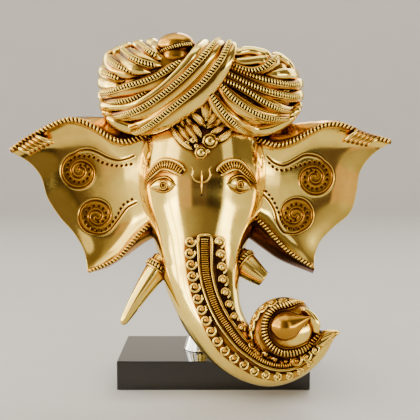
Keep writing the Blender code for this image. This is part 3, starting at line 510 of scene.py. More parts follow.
def new_tree(name, **inputs):
    """A geometry tree with geometry in and out and the named inputs, and their sockets."""
    tree = bpy.data.node_groups.new(name, "GeometryNodeTree")
    tree.interface.new_socket("Geometry", in_out="INPUT", socket_type="NodeSocketGeometry")
    kinds = {"Around": "Object", "Reverse": "Bool", "Finish": "Material"}
    for label, value in {**inputs, "Finish": None}.items():
        socket = tree.interface.new_socket(
            label, in_out="INPUT", socket_type="NodeSocket" + kinds.get(label, "Float"))
        if value is not None:
            socket.default_value = value
    tree.interface.new_socket("Geometry", in_out="OUTPUT", socket_type="NodeSocketGeometry")
    return tree, add_node(tree, "NodeGroupInput").outputs


def close_tree(tree, start, geometry):
    """End a tree with its instances made real and its finish set."""
    real = add_node(tree, "GeometryNodeRealizeInstances", {"Geometry": geometry})
    smooth = add_node(tree, "GeometryNodeSetShadeSmooth", {"Geometry": real})
    finish = add_node(tree, "GeometryNodeSetMaterial", {
        "Geometry": smooth, "Material": start["Finish"]})
    add_node(tree, "NodeGroupOutput", {"Geometry": finish})
    return tree


def standing_on_rail(tree, slant):
    """The turn that stands a shape on its rail, with X along it and Z out of the surface."""
    out = add_node(tree, "GeometryNodeInputNamedAttribute", {"Name": "out"},
                   data_type="FLOAT_VECTOR")
    upright = add_node(tree, "FunctionNodeAlignRotationToVector", {
        "Vector": out.outputs["Attribute"]}, axis="Z")
    tangent = add_node(tree, "GeometryNodeInputTangent")
    along = add_node(tree, "FunctionNodeAlignRotationToVector", {
        "Rotation": upright, "Vector": tangent}, axis="X", pivot_axis="Z")
    angles = add_node(tree, "ShaderNodeCombineXYZ", {"Z": slant})
    turn = add_node(tree, "FunctionNodeEulerToRotation", {"Euler": angles})
    return add_node(tree, "FunctionNodeRotateRotation", {
        "Rotation": along, "Rotate By": turn}, rotation_space="LOCAL")


def rail_points(tree, start):
    """Evenly spaced points on the rails, and the rail's breadth at each place."""
    curve = add_node(tree, "GeometryNodeMeshToCurve", {"Mesh": start["Geometry"]})
    points = add_node(tree, "GeometryNodeResampleCurve", {
        "Curve": curve, "Length": start["Pitch"]}, mode="LENGTH")
    share = add_node(tree, "GeometryNodeInputNamedAttribute", {"Name": "breadth"},
                     data_type="FLOAT")
    return points, share.outputs["Attribute"]


def set_on_rail(tree, start, points, shape, sizes):
    """End a tree with a shape on each point, at its three sizes."""
    size = add_node(tree, "ShaderNodeCombineXYZ", dict(zip("XYZ", sizes)))
    placed = add_node(tree, "GeometryNodeInstanceOnPoints", {
        "Points": points, "Instance": shape, "Scale": size,
        "Rotation": standing_on_rail(tree, start["Slant"])})
    return close_tree(tree, start, placed)


def bead_row_tree():
    """Beads or ribs of one size along rails, wider or narrower with the rail's breadth."""
    tree, start = new_tree("bead_row", Pitch=0.0027, Length=0.001, Breadth=0.002, Height=0.001,
                           Slant=0.0)
    points, share = rail_points(tree, start)
    bead = add_node(tree, "GeometryNodeMeshIcoSphere", {"Radius": 1.0, "Subdivisions": 2})
    breadth = add_node(tree, "ShaderNodeMath", {0: start["Breadth"], 1: share},
                       operation="MULTIPLY")
    return set_on_rail(tree, start, points, bead, (start["Length"], breadth, start["Height"]))


def scroll_row_tree():
    """Wire scrolls, each with a bead in its eye, along rails."""
    tree, start = new_tree("scroll_row", Pitch=0.0115, Radius=0.005, Eye=0.0014, Turns=1.3,
                           Wire=0.001, Slant=0.0, Reverse=False, Stretch=1.0)
    points, share = rail_points(tree, start)
    spiral = add_node(tree, "GeometryNodeCurveSpiral", {
        "Resolution": 20, "Rotations": start["Turns"],
        "Start Radius": start["Radius"], "End Radius": start["Eye"],
        "Height": 0.0, "Reverse": start["Reverse"]})
    ring = add_node(tree, "GeometryNodeCurvePrimitiveCircle", {
        "Resolution": 8, "Radius": start["Wire"]})
    wire = add_node(tree, "GeometryNodeCurveToMesh", {
        "Curve": spiral, "Profile Curve": ring, "Fill Caps": True})
    bead = add_node(tree, "GeometryNodeMeshIcoSphere", {
        "Radius": start["Eye"], "Subdivisions": 2})
    both = add_node(tree, "GeometryNodeJoinGeometry")
    tree.links.new(wire.outputs[0], both.inputs[0])
    tree.links.new(bead.outputs["Mesh"], both.inputs[0])
    long_way = add_node(tree, "ShaderNodeMath", {0: share, 1: start["Stretch"]},
                        operation="MULTIPLY")
    return set_on_rail(tree, start, points, both, (long_way, share, share))


def recess_shade_tree():
    """How closed in each place is, felt by short rays and kept as a point attribute, from which
    the brass's colour gets its painted shade.
    """
    tree, start = new_tree("recess", Around=None, Reach=0.010)
    around = add_node(tree, "GeometryNodeObjectInfo", {"Object": start["Around"]})
    place = add_node(tree, "GeometryNodeInputPosition")
    normal = add_node(tree, "GeometryNodeInputNormal")
    lifted = add_node(tree, "ShaderNodeVectorMath", {0: normal, "Scale": 0.0004},
                      operation="SCALE")
    origin = add_node(tree, "ShaderNodeVectorMath", {0: place, 1: lifted}, operation="ADD")
    # Any direction that isn't along the normal gives one across it
    aside = add_node(tree, "ShaderNodeVectorMath", {0: normal, 1: (0.31, 0.77, 0.56)},
                     operation="CROSS_PRODUCT")
    first = add_node(tree, "ShaderNodeVectorMath", {0: aside}, operation="NORMALIZE")
    second = add_node(tree, "ShaderNodeVectorMath", {0: normal, 1: first},
                      operation="CROSS_PRODUCT")
    rays = [(0.0, 0.0)] + [(52.0, 60.0 * step) for step in range(6)]
    total = None
    for lean, turn in rays:
        lean, turn = math.radians(lean), math.radians(turn)
        parts = [add_node(tree, "ShaderNodeVectorMath", {0: axis, "Scale": amount},
                          operation="SCALE")
                 for axis, amount in ((normal, math.cos(lean)),
                                      (first, math.sin(lean) * math.cos(turn)),
                                      (second, math.sin(lean) * math.sin(turn)))]
        pair = add_node(tree, "ShaderNodeVectorMath", {0: parts[0], 1: parts[1]}, operation="ADD")
        way = add_node(tree, "ShaderNodeVectorMath", {0: pair, 1: parts[2]}, operation="ADD")
        ray = add_node(tree, "GeometryNodeRaycast", {
            "Target Geometry": around.outputs["Geometry"], "Source Position": origin,
            "Ray Direction": way, "Ray Length": start["Reach"]})
        near = add_node(tree, "ShaderNodeMapRange", {
            "Value": ray.outputs["Hit Distance"], "From Min": 0.0,
            "From Max": start["Reach"], "To Min": 1.0, "To Max": 0.0})
        felt = add_node(tree, "ShaderNodeMath", {0: near, 1: ray.outputs["Is Hit"]},
                        operation="MULTIPLY")
        total = felt if total is None else add_node(
            tree, "ShaderNodeMath", {0: total, 1: felt}, operation="ADD")
    share = add_node(tree, "ShaderNodeMath", {0: total, 1: 1.0 / len(rays)},
                     operation="MULTIPLY")
    soft = add_node(tree, "GeometryNodeBlurAttribute", {"Value": share, "Iterations": 10},
                    data_type="FLOAT")
    stored = add_node(tree, "GeometryNodeStoreNamedAttribute", {
        "Geometry": start["Geometry"], "Name": "recess", "Value": soft},
        data_type="FLOAT", domain="POINT")
    return close_tree(tree, start, stored)


def run_tree(thing, tree, values):
    """Run a geometry tree on an object and return the result as a plain mesh."""
    step = thing.modifiers.new(tree.name, "NODES")
    step.node_group = tree
    for item in tree.interface.items_tree:
        if item.item_type == "SOCKET" and item.in_out == "INPUT" and item.name in values:
            step[item.identifier] = values[item.name]
    bpy.context.view_layer.update()
    evaluated = thing.evaluated_get(bpy.context.evaluated_depsgraph_get())
    mesh = bpy.data.meshes.new_from_object(evaluated)
    thing.modifiers.remove(step)
    return mesh


def put(name, data):
    """An object in the scene."""
    made = bpy.data.objects.new(name, data)
    bpy.context.scene.collection.objects.link(made)
    return made


# Curves, sections and shells

def smooth_line(points, step=0.0015, measured=3):
    """Evenly spaced rows on a smooth curve through the given rows.

    The length is measured in the first columns only, so a row may also hold widths.
    """
    rows = np.asarray(points, float)
    padded = np.vstack([2 * rows[0] - rows[1], rows, 2 * rows[-1] - rows[-2]])
    share = np.linspace(0, 1, 24, endpoint=False)[:, None]
    dense = []
    for before, start, end, after in zip(padded, padded[1:], padded[2:], padded[3:]):
        dense.append(0.5 * (2 * start + (end - before) * share
                            + (2 * before - 5 * start + 4 * end - after) * share ** 2
                            + (3 * start - before - 3 * end + after) * share ** 3))
    dense = np.vstack(dense + [rows[-1:]])
    travel = np.linalg.norm(np.diff(dense[:, :measured], axis=0), axis=1)
    travel = np.concatenate([[0.0], np.cumsum(travel)])
    count = max(3, int(round(travel[-1] / step)) + 1)
    places = np.linspace(0, travel[-1], count)
    return np.column_stack([np.interp(places, travel, column) for column in dense.T])


def unit(rows):
    """Rows scaled to length 1."""
    rows = np.asarray(rows, float)
    return rows / np.maximum(np.linalg.norm(rows, axis=-1, keepdims=True), 1e-12)


def shell_mesh(verts, faces):
    """A closed mesh whose faces point out."""
    verts = np.asarray(verts, float)
    corners = np.array([(face[0], a, b) for face in faces for a, b in zip(face[1:], face[2:])])
    first, second, third = verts[corners.T]
    if np.sum(first * np.cross(second, third)) < 0:
        faces = [tuple(reversed(face)) for face in faces]
    mesh = bpy.data.meshes.new("shell")
    mesh.from_pydata(verts.tolist(), [], [tuple(map(int, face)) for face in faces])
    mesh.shade_smooth()
    return mesh


def loft_faces(levels, count, round_trip=False):
    """Faces of a loft through levels of equal counts, with flat ends unless it is a loop."""
    index = np.arange(count)
    after = (index + 1) % count
    faces = []
    for level in range(levels if round_trip else levels - 1):
        upper = (level + 1) % levels
        faces.extend(zip(level * count + index, level * count + after,
                         upper * count + after, upper * count + index))
    if not round_trip:
        faces.append(tuple(range(count))[::-1])
        faces.append(tuple(range((levels - 1) * count, levels * count)))
    return faces


def grid_faces(rows, columns, start=0, flipped=False):
    """Faces of a grid whose places are counted row by row from a start."""
    faces = [(at, at + 1, at + columns + 1, at + columns) for row in range(rows - 1)
             for at in range(start + row * columns, start + (row + 1) * columns - 1)]
    return [face[::-1] for face in faces] if flipped else faces


def grid_edge(rows, columns, start=0):
    """The places round a grid's edge, from its first place back to it."""
    index = start + np.arange(rows * columns).reshape(rows, columns)
    return np.concatenate([index[0], index[1:, -1], index[-1, -2::-1], index[-2::-1, 0]])


def loft(rings, round_trip=False):
    """A closed shell through rings of equal counts."""
    rings = np.asarray(rings, float)
    levels, count = rings.shape[:2]
    return shell_mesh(rings.reshape(-1, 3), loft_faces(levels, count, round_trip))


def sweep(path, outs, breadths, heights, section, round_trip=False):
    """A section carried along a path. Its first column is sideways, its second is outwards."""
    path = np.asarray(path, float)
    if round_trip:
        along = np.roll(path, -1, axis=0) - np.roll(path, 1, axis=0)
    else:
        along = np.gradient(path, axis=0)
    along = unit(along)
    outs = unit(outs - along * np.sum(outs * along, axis=1, keepdims=True))
    side = np.cross(along, outs)
    breadths = np.broadcast_to(breadths, len(path))
    heights = np.broadcast_to(heights, len(path))
    rings = (path[:, None] + side[:, None] * (section[None, :, :1] * breadths[:, None, None])
             + outs[:, None] * (section[None, :, 1:] * heights[:, None, None]))
    return loft(rings, round_trip)


def round_turns(count):
    """Angles round a full turn."""
    return np.linspace(0, 2 * math.pi, count, endpoint=False)


def bulged(shares, power):
    """Shares from -1 to 1 raised to a power, with their signs kept."""
    return np.sign(shares) * np.abs(shares) ** power


def eased(share):
    """A share from 0 to 1 that starts and ends softly."""
    return share * share * (3 - 2 * share)


def turned(profile, count, x=0.0, y=0.0):
    """Rings of a turned form round an upright axis, from its radii and heights."""
    return [np.column_stack([np.array((x, y)) + radius * circle(count), np.full(count, z)])
            for radius, z in profile]


def circle(count=12):
    """A round section."""
    turns = round_turns(count)
    return np.column_stack([np.cos(turns), np.sin(turns)])


def transported(path):
    """Directions across a path that turn as little as they can along it."""
    along = unit(np.gradient(np.asarray(path, float), axis=0))
    start = np.cross(along[0], (0.0, 1.0, 0.0))
    if np.linalg.norm(start) < 0.2:
        start = np.cross(along[0], (1.0, 0.0, 0.0))
    outs = [start / np.linalg.norm(start)]
    for way in along[1:]:
        out = outs[-1] - way * np.dot(outs[-1], way)
        outs.append(out / np.linalg.norm(out))
    return np.array(outs)


def tube(path, radii, count=12):
    """A round bar along a path, with closed ends."""
    return sweep(path, transported(path), radii, radii, circle(count))


def ring_round(centre, axis, radius, thickness, count=64):
    """A closed ring round an axis."""
    axis = unit(axis)
    side = unit(np.cross(axis, (0.0, 1.0, 0.13)))
    other = np.cross(axis, side)
    turns = round_turns(count)
    spokes = np.outer(np.cos(turns), side) + np.outer(np.sin(turns), other)
    path = np.asarray(centre) + spokes * radius
    return sweep(path, spokes, thickness, thickness, circle(12), round_trip=True), path, spokes


def joined(meshes):
    """The places and faces of some meshes as one."""
    verts, faces = [], []
    for mesh in meshes:
        start = len(verts)
        verts.extend(vertex.co.copy() for vertex in mesh.vertices)
        faces.extend([start + index for index in face.vertices] for face in mesh.polygons)
    return verts, faces


def skin_of(meshes):
    """A tree for finding places on the surfaces of some meshes."""
    return BVHTree.FromPolygons(*joined(meshes))


def lay(points, skin, lift=0.0, shift=MASK_X):
    """Lay places seen from the front onto a skin. Returns places and directions out of it.

    The shift is from the mask's own frame, which the places are in, to the skin's.
    """
    places, outs = [], []
    for x, z in np.asarray(points)[:, :2]:
        hit, out, _, _ = skin.ray_cast(Vector((x + shift, -1.0, z)), Vector((0.0, 1.0, 0.0)))
        if hit is None:
            hit, out, _, _ = skin.find_nearest(Vector((x + shift, -0.06, z)))
        places.append(hit)
        outs.append(out)
    places, outs = np.array(places, float), np.array(outs, float)
    places[:, 0] -= shift
    if len(outs) > 4:
        soft = np.vstack([outs[:1], outs[:1], outs, outs[-1:], outs[-1:]])
        outs = unit(sum(soft[k:k + len(outs)] for k in range(5)))
    return places + outs * lift, outs


def laid(points, skin, step, lift=0.0):
    """A smooth line laid onto a skin: its places, the directions out, and its own rows."""
    line = smooth_line(points, step, measured=2)
    return (*lay(line, skin, lift), line)


def skin_under(*names):
    """The skin of some finished pieces."""
    return skin_of([bpy.data.objects[name].data for name in names])


def end_taper(count, over, least, start=0):
    """Widths that shrink towards both ends of a line, over a number of rows."""
    steps = np.arange(count)
    return np.clip((np.minimum(steps, steps[::-1]) + start) / over, least, 1)


def bar(places, outs, wide, high, sides=10, tone=0.0):
    """A bar of round or oval section along a line, with its tone."""
    return toned(sweep(places, outs, wide, high, circle(sides)), tone)


def toned_ring(centre, axis, radius, thickness, count, tone=0.0):
    """A closed ring round an axis, with its tone."""
    return toned(ring_round(centre, axis, radius, thickness, count)[0], tone)


def rails_object(rails):
    """An object whose edges are rails, each a pair of places and outward directions."""
    verts, outs, breadths, edges = [], [], [], []
    for places, ways, *share in rails:
        start = len(verts)
        verts.extend(np.asarray(places).tolist())
        outs.extend(np.asarray(ways).tolist())
        breadths.extend(np.broadcast_to(share[0] if share else 1.0, len(places)).tolist())
        edges.extend((start + index, start + index + 1) for index in range(len(places) - 1))
    mesh = bpy.data.meshes.new("rails")
    mesh.from_pydata(verts, edges, [])
    mesh.attributes.new("out", "FLOAT_VECTOR", "POINT").data.foreach_set(
        "vector", np.array(outs, np.float32).ravel())
    mesh.attributes.new("breadth", "FLOAT", "POINT").data.foreach_set(
        "value", np.array(breadths, np.float32))
    return put("rails", mesh)


def grown(tree, rails, **values):
    """What a tree grows along rails, as a plain mesh."""
    values["Finish"] = brass_material()
    holder = rails_object(rails)
    mesh = run_tree(holder, tree, values)
    bpy.data.meshes.remove(holder.data)
    return toned(mesh, POLISHED)


def beads(rails, pitch, length, breadth, height, slant=0.0):
    """Beads or ribs along rails."""
    return grown(tree_named("bead_row"), rails, Pitch=pitch, Length=length, Breadth=breadth,
                 Height=height, Slant=slant)


def scrolls(rail, pitch, radius, eye, wire, turns, slant, stretch=1.0, reverse=False):
    """Wire scrolls along a rail."""
    return grown(tree_named("scroll_row"), [rail], Pitch=pitch, Radius=radius, Turns=turns,
                 Wire=wire, Slant=slant, Stretch=stretch, Reverse=reverse, Eye=eye)


def tree_named(name):
    """One of the repeating trees, made when it is first asked for."""
    makers = {"bead_row": bead_row_tree, "scroll_row": scroll_row_tree, "recess": recess_shade_tree}
    return bpy.data.node_groups.get(name) or makers[name]()


def add_piece(name, meshes, finish, moved=True):
    """Put meshes into the scene as one piece, carried to the mask's place if need be."""
    whole = bmesh.new()
    for mesh in meshes:
        if "carved" not in mesh.attributes:
            toned(mesh, 0.0)
        whole.from_mesh(mesh)
        bpy.data.meshes.remove(mesh)
    if moved:
        bmesh.ops.translate(whole, vec=(MASK_X, 0, 0), verts=whole.verts)
    mesh = bpy.data.meshes.new(name)
    whole.to_mesh(mesh)
    whole.free()
    for face in mesh.polygons:
        face.material_index = 0
    mesh.materials.clear()
    mesh.materials.append(finish)
    return put(name, mesh)


def add_brass(name, meshes):
    """A brass piece, which gets its painted shade and toning in its recesses when all of them are
    made.
    """
    thing = add_piece(name, meshes, brass_material())
    BRASS_PIECES.append(thing.name)
    return thing


# Forms of the casting

def trunk_rows(step=0.0016):
    """Rows of the face and trunk, and the direction across each one."""
    rows = smooth_line(TRUNK_SECTIONS, step, measured=2)
    along = unit(np.gradient(rows[:, :2], axis=0))
    return rows, np.column_stack([-along[:, 1], along[:, 0]])


def face_and_trunk_mesh(wall, fullness):
    """The face with its trunk, hollow from behind down to the curl."""
    rows, across = trunk_rows()
    keep = rows[:, 1] < 0.330
    keep |= rows[:, 0] > 0.01
    rows, across = rows[keep], across[keep]
    front_turn = np.linspace(0, math.pi, 97)
    rings = []
    for (x, z, half, middle, front, behind), side in zip(rows, across):
        wide = bulged(np.cos(front_turn), 2 / fullness)
        deep = np.abs(np.sin(front_turn)) ** (2 / fullness)
        thick = min(wall, half * 0.4)
        edge = math.acos(1 - thick / half)
        tail = np.linspace(0, edge, 5)[1:]
        tail_x, tail_y = np.cos(tail) * half, middle + behind * np.sin(tail)
        outer = np.concatenate([
            np.column_stack([tail_x[::-1], tail_y[::-1]]),
            np.column_stack([wide * half, middle - front * deep]),
            np.column_stack([-tail_x, tail_y])])
        inner_turn = np.linspace(math.pi, 0, 51)
        inner_x = bulged(np.cos(inner_turn), 2 / fullness) * (half - thick)
        inner_y = middle - (front - thick) * np.abs(np.sin(inner_turn)) ** (2 / fullness)
        hollow = np.column_stack([inner_x, inner_y])
        back_turn = np.linspace(math.pi - edge, edge, 51)
        solid = np.column_stack([np.cos(back_turn) * half, middle + behind * np.sin(back_turn)])
        share = np.clip((0.078 - x) / 0.020, 0, 1) if z < 0.07 else 1.0
        share = eased(share)
        ring = np.concatenate([outer, share * hollow + (1 - share) * solid])
        ring[:, 1] = np.minimum(ring[:, 1], BACK_Y)
        rings.append(np.column_stack([x + side[0] * ring[:, 0], ring[:, 1],
                                      z + side[1] * ring[:, 0]]))
    return loft(rings)


def bag_spread(x, z):
    """How far out on the turban's bag a place is, from 0 in the middle to 1 at the edge."""
    spread = (np.abs(x) / TURBAN_HALF_WIDTH) ** TURBAN_PLAN_POWER
    return np.sqrt(spread + (np.abs(z - TURBAN_Z) / TURBAN_HALF_HEIGHT) ** TURBAN_RISE_POWER)


def bag_y(x, z):
    """Y of the turban's bag at places seen from the front."""
    spread = np.minimum(bag_spread(x, z), 0.985)
    return BACK_Y - TURBAN_DEPTH * (1 - spread ** TURBAN_FULLNESS) ** (1 / TURBAN_FULLNESS)


def bag_out(places):
    """Directions out of the turban's bag."""
    def level(p):
        depth = np.maximum(BACK_Y - p[:, 1], 0) / TURBAN_DEPTH
        return bag_spread(p[:, 0], p[:, 2]) ** TURBAN_FULLNESS + depth ** TURBAN_FULLNESS
    step = 0.0005
    return unit(np.column_stack([(level(places + offset) - level(places - offset))
                                 for offset in np.eye(3) * step]))


def turban_bag_mesh(wall):
    """The rounded bag under the folds, open at the back."""
    shares = np.concatenate([np.linspace(0.04, 0.8, 16), np.linspace(0.83, 0.99, 10), [1.0]])
    turns = round_turns(144)
    rings = []
    for shrink, order in ((0.0, shares), (wall, shares[::-1])):
        for share in order:
            x = bulged(share * np.cos(turns), 2 / TURBAN_PLAN_POWER)
            z = bulged(share * np.sin(turns), 2 / TURBAN_RISE_POWER)
            deep = (TURBAN_DEPTH - shrink) * (1 - share ** TURBAN_FULLNESS) ** (
                1 / TURBAN_FULLNESS)
            rings.append(np.column_stack([x * (TURBAN_HALF_WIDTH - shrink),
                                          np.full(len(turns), BACK_Y - deep),
                                          TURBAN_Z + z * (TURBAN_HALF_HEIGHT - shrink)]))
    return loft(rings)


def fold_section():
    """A fold's section: a soft roll that is sunk into the cloth below it."""
    return bulged(circle(36), 0.85)


def fold_line(crest, rows, wraps_start, wraps_end):
    """A fold's middle on the bag, with its half widths, and its ends turned to the back."""
    rows = np.array(rows)
    spread = bag_spread(rows[:, 0], rows[:, 1])
    limit = np.interp(rows[:, 1], REACH_Z, FOLD_REACH)
    shrink = np.minimum(1.0, limit / np.maximum(spread, 1e-6) ** (2 / TURBAN_PLAN_POWER))
    rows[:, 0] *= np.where(spread > 1.0, shrink, 1.0)
    rows[:, 1] = TURBAN_Z + (rows[:, 1] - TURBAN_Z) * np.where(spread > 1.0, shrink, 1.0)
    rows[:, 2] *= FOLD_OVERLAP
    for end, wraps in ((0, wraps_start), (-1, wraps_end)):
        if wraps:
            rows[end, 2] = max(rows[end, 2], WRAPPED_HALF)
    rise = np.maximum(crest - fold_height(rows[:, 2]), 0.0)
    line = np.column_stack([rows[:, 0], bag_y(rows[:, 0], rows[:, 1]) - rise, rows[:, 1],
                            rows[:, 2]])
    if wraps_start:
        line = np.vstack([[line[0, 0], BACK_Y - 0.003, line[0, 2], line[0, 3]], line])
    if wraps_end:
        line = np.vstack([line, [line[-1, 0], BACK_Y - 0.003, line[-1, 2], line[-1, 3]]])
    line = smooth_line(line, 0.0020)
    # An end that doesn't turn to the back is tucked under its neighbours
    steps = np.arange(len(line))
    far = np.minimum(99 if wraps_start else steps, 99 if wraps_end else steps[::-1])
    tucked = eased(1 - np.clip(far / TUCK_STEPS, 0, 1))
    line[:, 1] += 0.004 * tucked
    line[:, 3] *= 1 - 0.65 * tucked
    return softened(line, 12)


def softened(rows, times):
    """Rows with their turns rounded, and their ends kept."""
    rows = np.array(rows, float)
    for _ in range(times):
        rows[1:-1] = (rows[:-2] + 2 * rows[1:-1] + rows[2:]) / 4
    return rows


def fold_height(half):
    """How high a fold of a given half width rises."""
    return 0.70 * half + 0.0012


def keep_outside(mesh):
    """Stop a mesh on the turban from showing inside its bag."""
    places = np.empty(len(mesh.vertices) * 3)
    mesh.vertices.foreach_get("co", places)
    places = places.reshape(-1, 3)
    inside = bag_spread(places[:, 0], places[:, 2]) < 0.97
    limit = bag_y(places[:, 0], places[:, 2]) + 0.002
    places[:, 1] = np.where(inside, np.minimum(places[:, 1], limit), places[:, 1])
    places[:, 1] = np.minimum(places[:, 1], BACK_Y)
    mesh.vertices.foreach_set("co", places.ravel())
    return mesh


def toned(mesh, amount):
    """Give a whole mesh the tone of a punched or filled ground, from 0 to 1."""
    layer = mesh.attributes.get("carved") or mesh.attributes.new("carved", "FLOAT", "POINT")
    layer.data.foreach_set("value", np.full(len(mesh.vertices), amount, np.float32))
    return mesh


def ear_grid(ear, columns, rows):
    """Places on an ear's surface, from its top edge to its bottom edge, evenly spread."""
    share = np.linspace(0, 1, columns)

    def rail(points, count_at=share):
        line = smooth_line(points, 0.001, measured=2)
        places = np.linspace(0, 1, len(line))
        return np.column_stack([np.interp(count_at, places, line[:, axis]) for axis in (0, 1)])

    top, rim, low, bottom = (rail(ear[name]) for name in ("top", "rim", "low", "bottom"))
    down = np.linspace(0, 1, rows - 2 * STRIP_ROWS)
    inner, outer = rail(ear["inner"], down), rail(ear["outer"], down)
    bowl = smooth_line(EAR_DISH, 0.004, measured=1)
    dish = np.interp(share, bowl[:, 0], bowl[:, 1])
    grid = []
    for step in np.linspace(0, 1, STRIP_ROWS, endpoint=False):
        bow = math.sin(step * math.pi / 2)
        grid.append((top * (1 - step) + rim * step,
                     np.full(columns, EAR_EDGE_Y + (EAR_RIM_Y - EAR_EDGE_Y) * bow)))
    for index, v in enumerate(down):
        u = share[:, None]
        straight = (1 - v) * rim + v * low + (1 - u) * inner[index] + u * outer[index]
        corners = ((1 - v) * ((1 - u) * rim[0] + u * rim[-1])
                   + v * ((1 - u) * low[0] + u * low[-1]))
        edge = (2 * v - 1) ** 8
        grid.append((straight - corners, edge * EAR_RIM_Y + (1 - edge) * dish))
    for step in np.linspace(0, 1, STRIP_ROWS + 1)[1:]:
        bow = math.cos(step * math.pi / 2)
        grid.append((low * (1 - step) + bottom * step,
                     np.full(columns, EAR_EDGE_Y + (EAR_RIM_Y - EAR_EDGE_Y) * bow)))
    return np.array([np.column_stack([place[:, 0], y, place[:, 1]]) for place, y in grid])


def turned_place(centre, reach, angle):
    """The place at a distance and an angle from a centre."""
    return tuple(np.array(centre) + reach * np.array((math.cos(angle), math.sin(angle))))


def spiral_line(centre, radius, turn, tail):
    """The groove of a spiral: its tail, then turns that close in on the centre."""
    centre = np.array(centre)
    last = np.array(tail[-1]) - centre
    start = math.atan2(last[1], last[0])
    places = [tuple(point) for point in tail]
    first = np.linalg.norm(last)
    for degrees in range(15, GROOVE_LAW[-1][0] + 1, 15):
        angle = math.radians(degrees)
        reach = radius * np.interp(degrees, *zip(*GROOVE_LAW))
        reach = reach + (first - reach) * max(0.0, 1 - degrees / 60)
        places.append(turned_place(centre, reach, start + turn * angle))
    return smooth_line(places, 0.0006, measured=2)


def dots_of(ear, index, pitch):
    """The punched dots beside a spiral's groove, from the head into the spiral."""
    centre, radius, turn, tail = ear["spirals"][index]
    centre = np.array(centre)
    last = np.array(tail[-1]) - centre
    start = math.atan2(last[1], last[0])
    places = [tuple(point) for point in ear["dots"][index]]
    away = np.array(places[-1]) - centre
    begin = math.atan2(away[1], away[0])
    passed = math.degrees((begin - start) * turn)
    for degrees in np.arange(passed + 30, DOT_LAW[-1][0], 15):
        angle = math.radians(degrees)
        reach = radius * np.interp(degrees, *zip(*DOT_LAW))
        places.append(turned_place(centre, reach, start + turn * angle))
    return smooth_line(places, pitch, measured=2)


def ear_mesh(ear, shade_tones, sheet, groove, dot_pitch):
    """One ear as a closed sheet, with its spirals and dots sunk into the front."""
    coarse_columns, coarse_rows = 72, 80
    columns, rows = 3 * coarse_columns - 2, 3 * coarse_rows - 2
    front = ear_grid(ear, columns, rows)
    across = np.gradient(front, axis=1)
    down = np.gradient(front, axis=0)
    outs = unit(np.cross(across, down))
    outs *= np.where(outs[..., 1:2] > 0, -1.0, 1.0)
    flat = front.reshape(-1, 3)[:, [0, 2]]
    sunk = np.zeros(len(flat))
    carved = np.zeros(len(flat))
    for index, (centre, radius, turn, tail) in enumerate(ear["spirals"]):
        line = spiral_line(centre, radius, turn, tail)
        inside = np.linalg.norm(flat - np.array(centre), axis=1)
        near = np.flatnonzero(inside < radius + 0.075)
        gap = np.full(len(near), 1.0)
        for start in range(0, len(line), 64):
            part = line[start:start + 64]
            apart = np.linalg.norm(flat[near][:, None] - part[None], axis=2).min(axis=1)
            gap = np.minimum(gap, apart)
        sunk[near] -= groove * np.exp(-(gap / 0.0009) ** 2)
        sunk[near] += groove * 0.30 * np.exp(-((gap - 0.0019) / 0.0007) ** 2)
        carved[near] = np.maximum(carved[near], 0.85 * np.exp(-(gap / 0.0012) ** 4))
        disc = np.clip((radius * 0.99 - inside) / 0.001, 0, 1)
        carved = np.maximum(carved, 0.36 * disc)
        for dot in dots_of(ear, index, dot_pitch):
            apart = np.linalg.norm(flat - dot, axis=1)
            sunk -= groove * 0.6 * np.exp(-(apart / 0.0015) ** 4)
            carved = np.maximum(carved, np.exp(-(apart / 0.0019) ** 6))
    # The turned-back strips above and below are painted darker than the dish, as painted shade
    carved = carved.reshape(rows, columns)
    away = np.clip((np.linspace(0, 1, columns) - 0.30) / 0.15, 0, 1)
    carved = np.maximum(carved, shade_tones[2] * away)
    for strip, tone in ((carved[:STRIP_ROWS], shade_tones[0]), (carved[-STRIP_ROWS:], shade_tones[1])):
        np.maximum(strip, tone, out=strip)
    carved = carved.ravel()
    places = front + outs * sunk.reshape(rows, columns, 1)
    back = front[::3, ::3] - outs[::3, ::3] * sheet
    back[..., 1] = np.minimum(back[..., 1], BACK_Y)
    verts = np.vstack([places.reshape(-1, 3), back.reshape(-1, 3)])
    base = rows * columns
    faces = (grid_faces(rows, columns)
             + grid_faces(coarse_rows, coarse_columns, base, flipped=True))
    # The front's edge has three steps to each one of the back's
    fine, coarse = grid_edge(rows, columns), grid_edge(coarse_rows, coarse_columns, base)
    faces += [(*fine[3 * k:3 * k + 4][::-1], coarse[k], coarse[k + 1])
              for k in range(len(coarse) - 1)]
    mesh = shell_mesh(verts, faces)
    amount = np.concatenate([carved, np.zeros(len(verts) - len(carved))]).astype(np.float32)
    mesh.attributes.new("carved", "FLOAT", "POINT").data.foreach_set("value", amount)
    return mesh


def curl_dome_mesh(wall):
    """The trunk's round curl as a bowl that is open at the back."""
    rings = []
    turns = round_turns(96)
    for shrink, order in ((0.0, np.linspace(math.pi / 2 - 0.03, 0, 28)),
                          (wall, np.linspace(0, math.pi / 2 - 0.03, 20))):
        part = [((CURL_RADIUS - 0.001 - shrink) * math.cos(a),
                 CURL_Y - (CURL_DEPTH - shrink) * math.sin(a)) for a in order]
        rim = [(CURL_RADIUS - 0.0055 - shrink, CURL_Y + CURL_BACK)]
        for radius, y in (part + rim if shrink == 0.0 else rim + part):
            rings.append(np.column_stack([CURL_X + radius * np.cos(turns),
                                          np.full(len(turns), y),
                                          CURL_Z + radius * np.sin(turns)]))
    return loft(rings)


# Materials

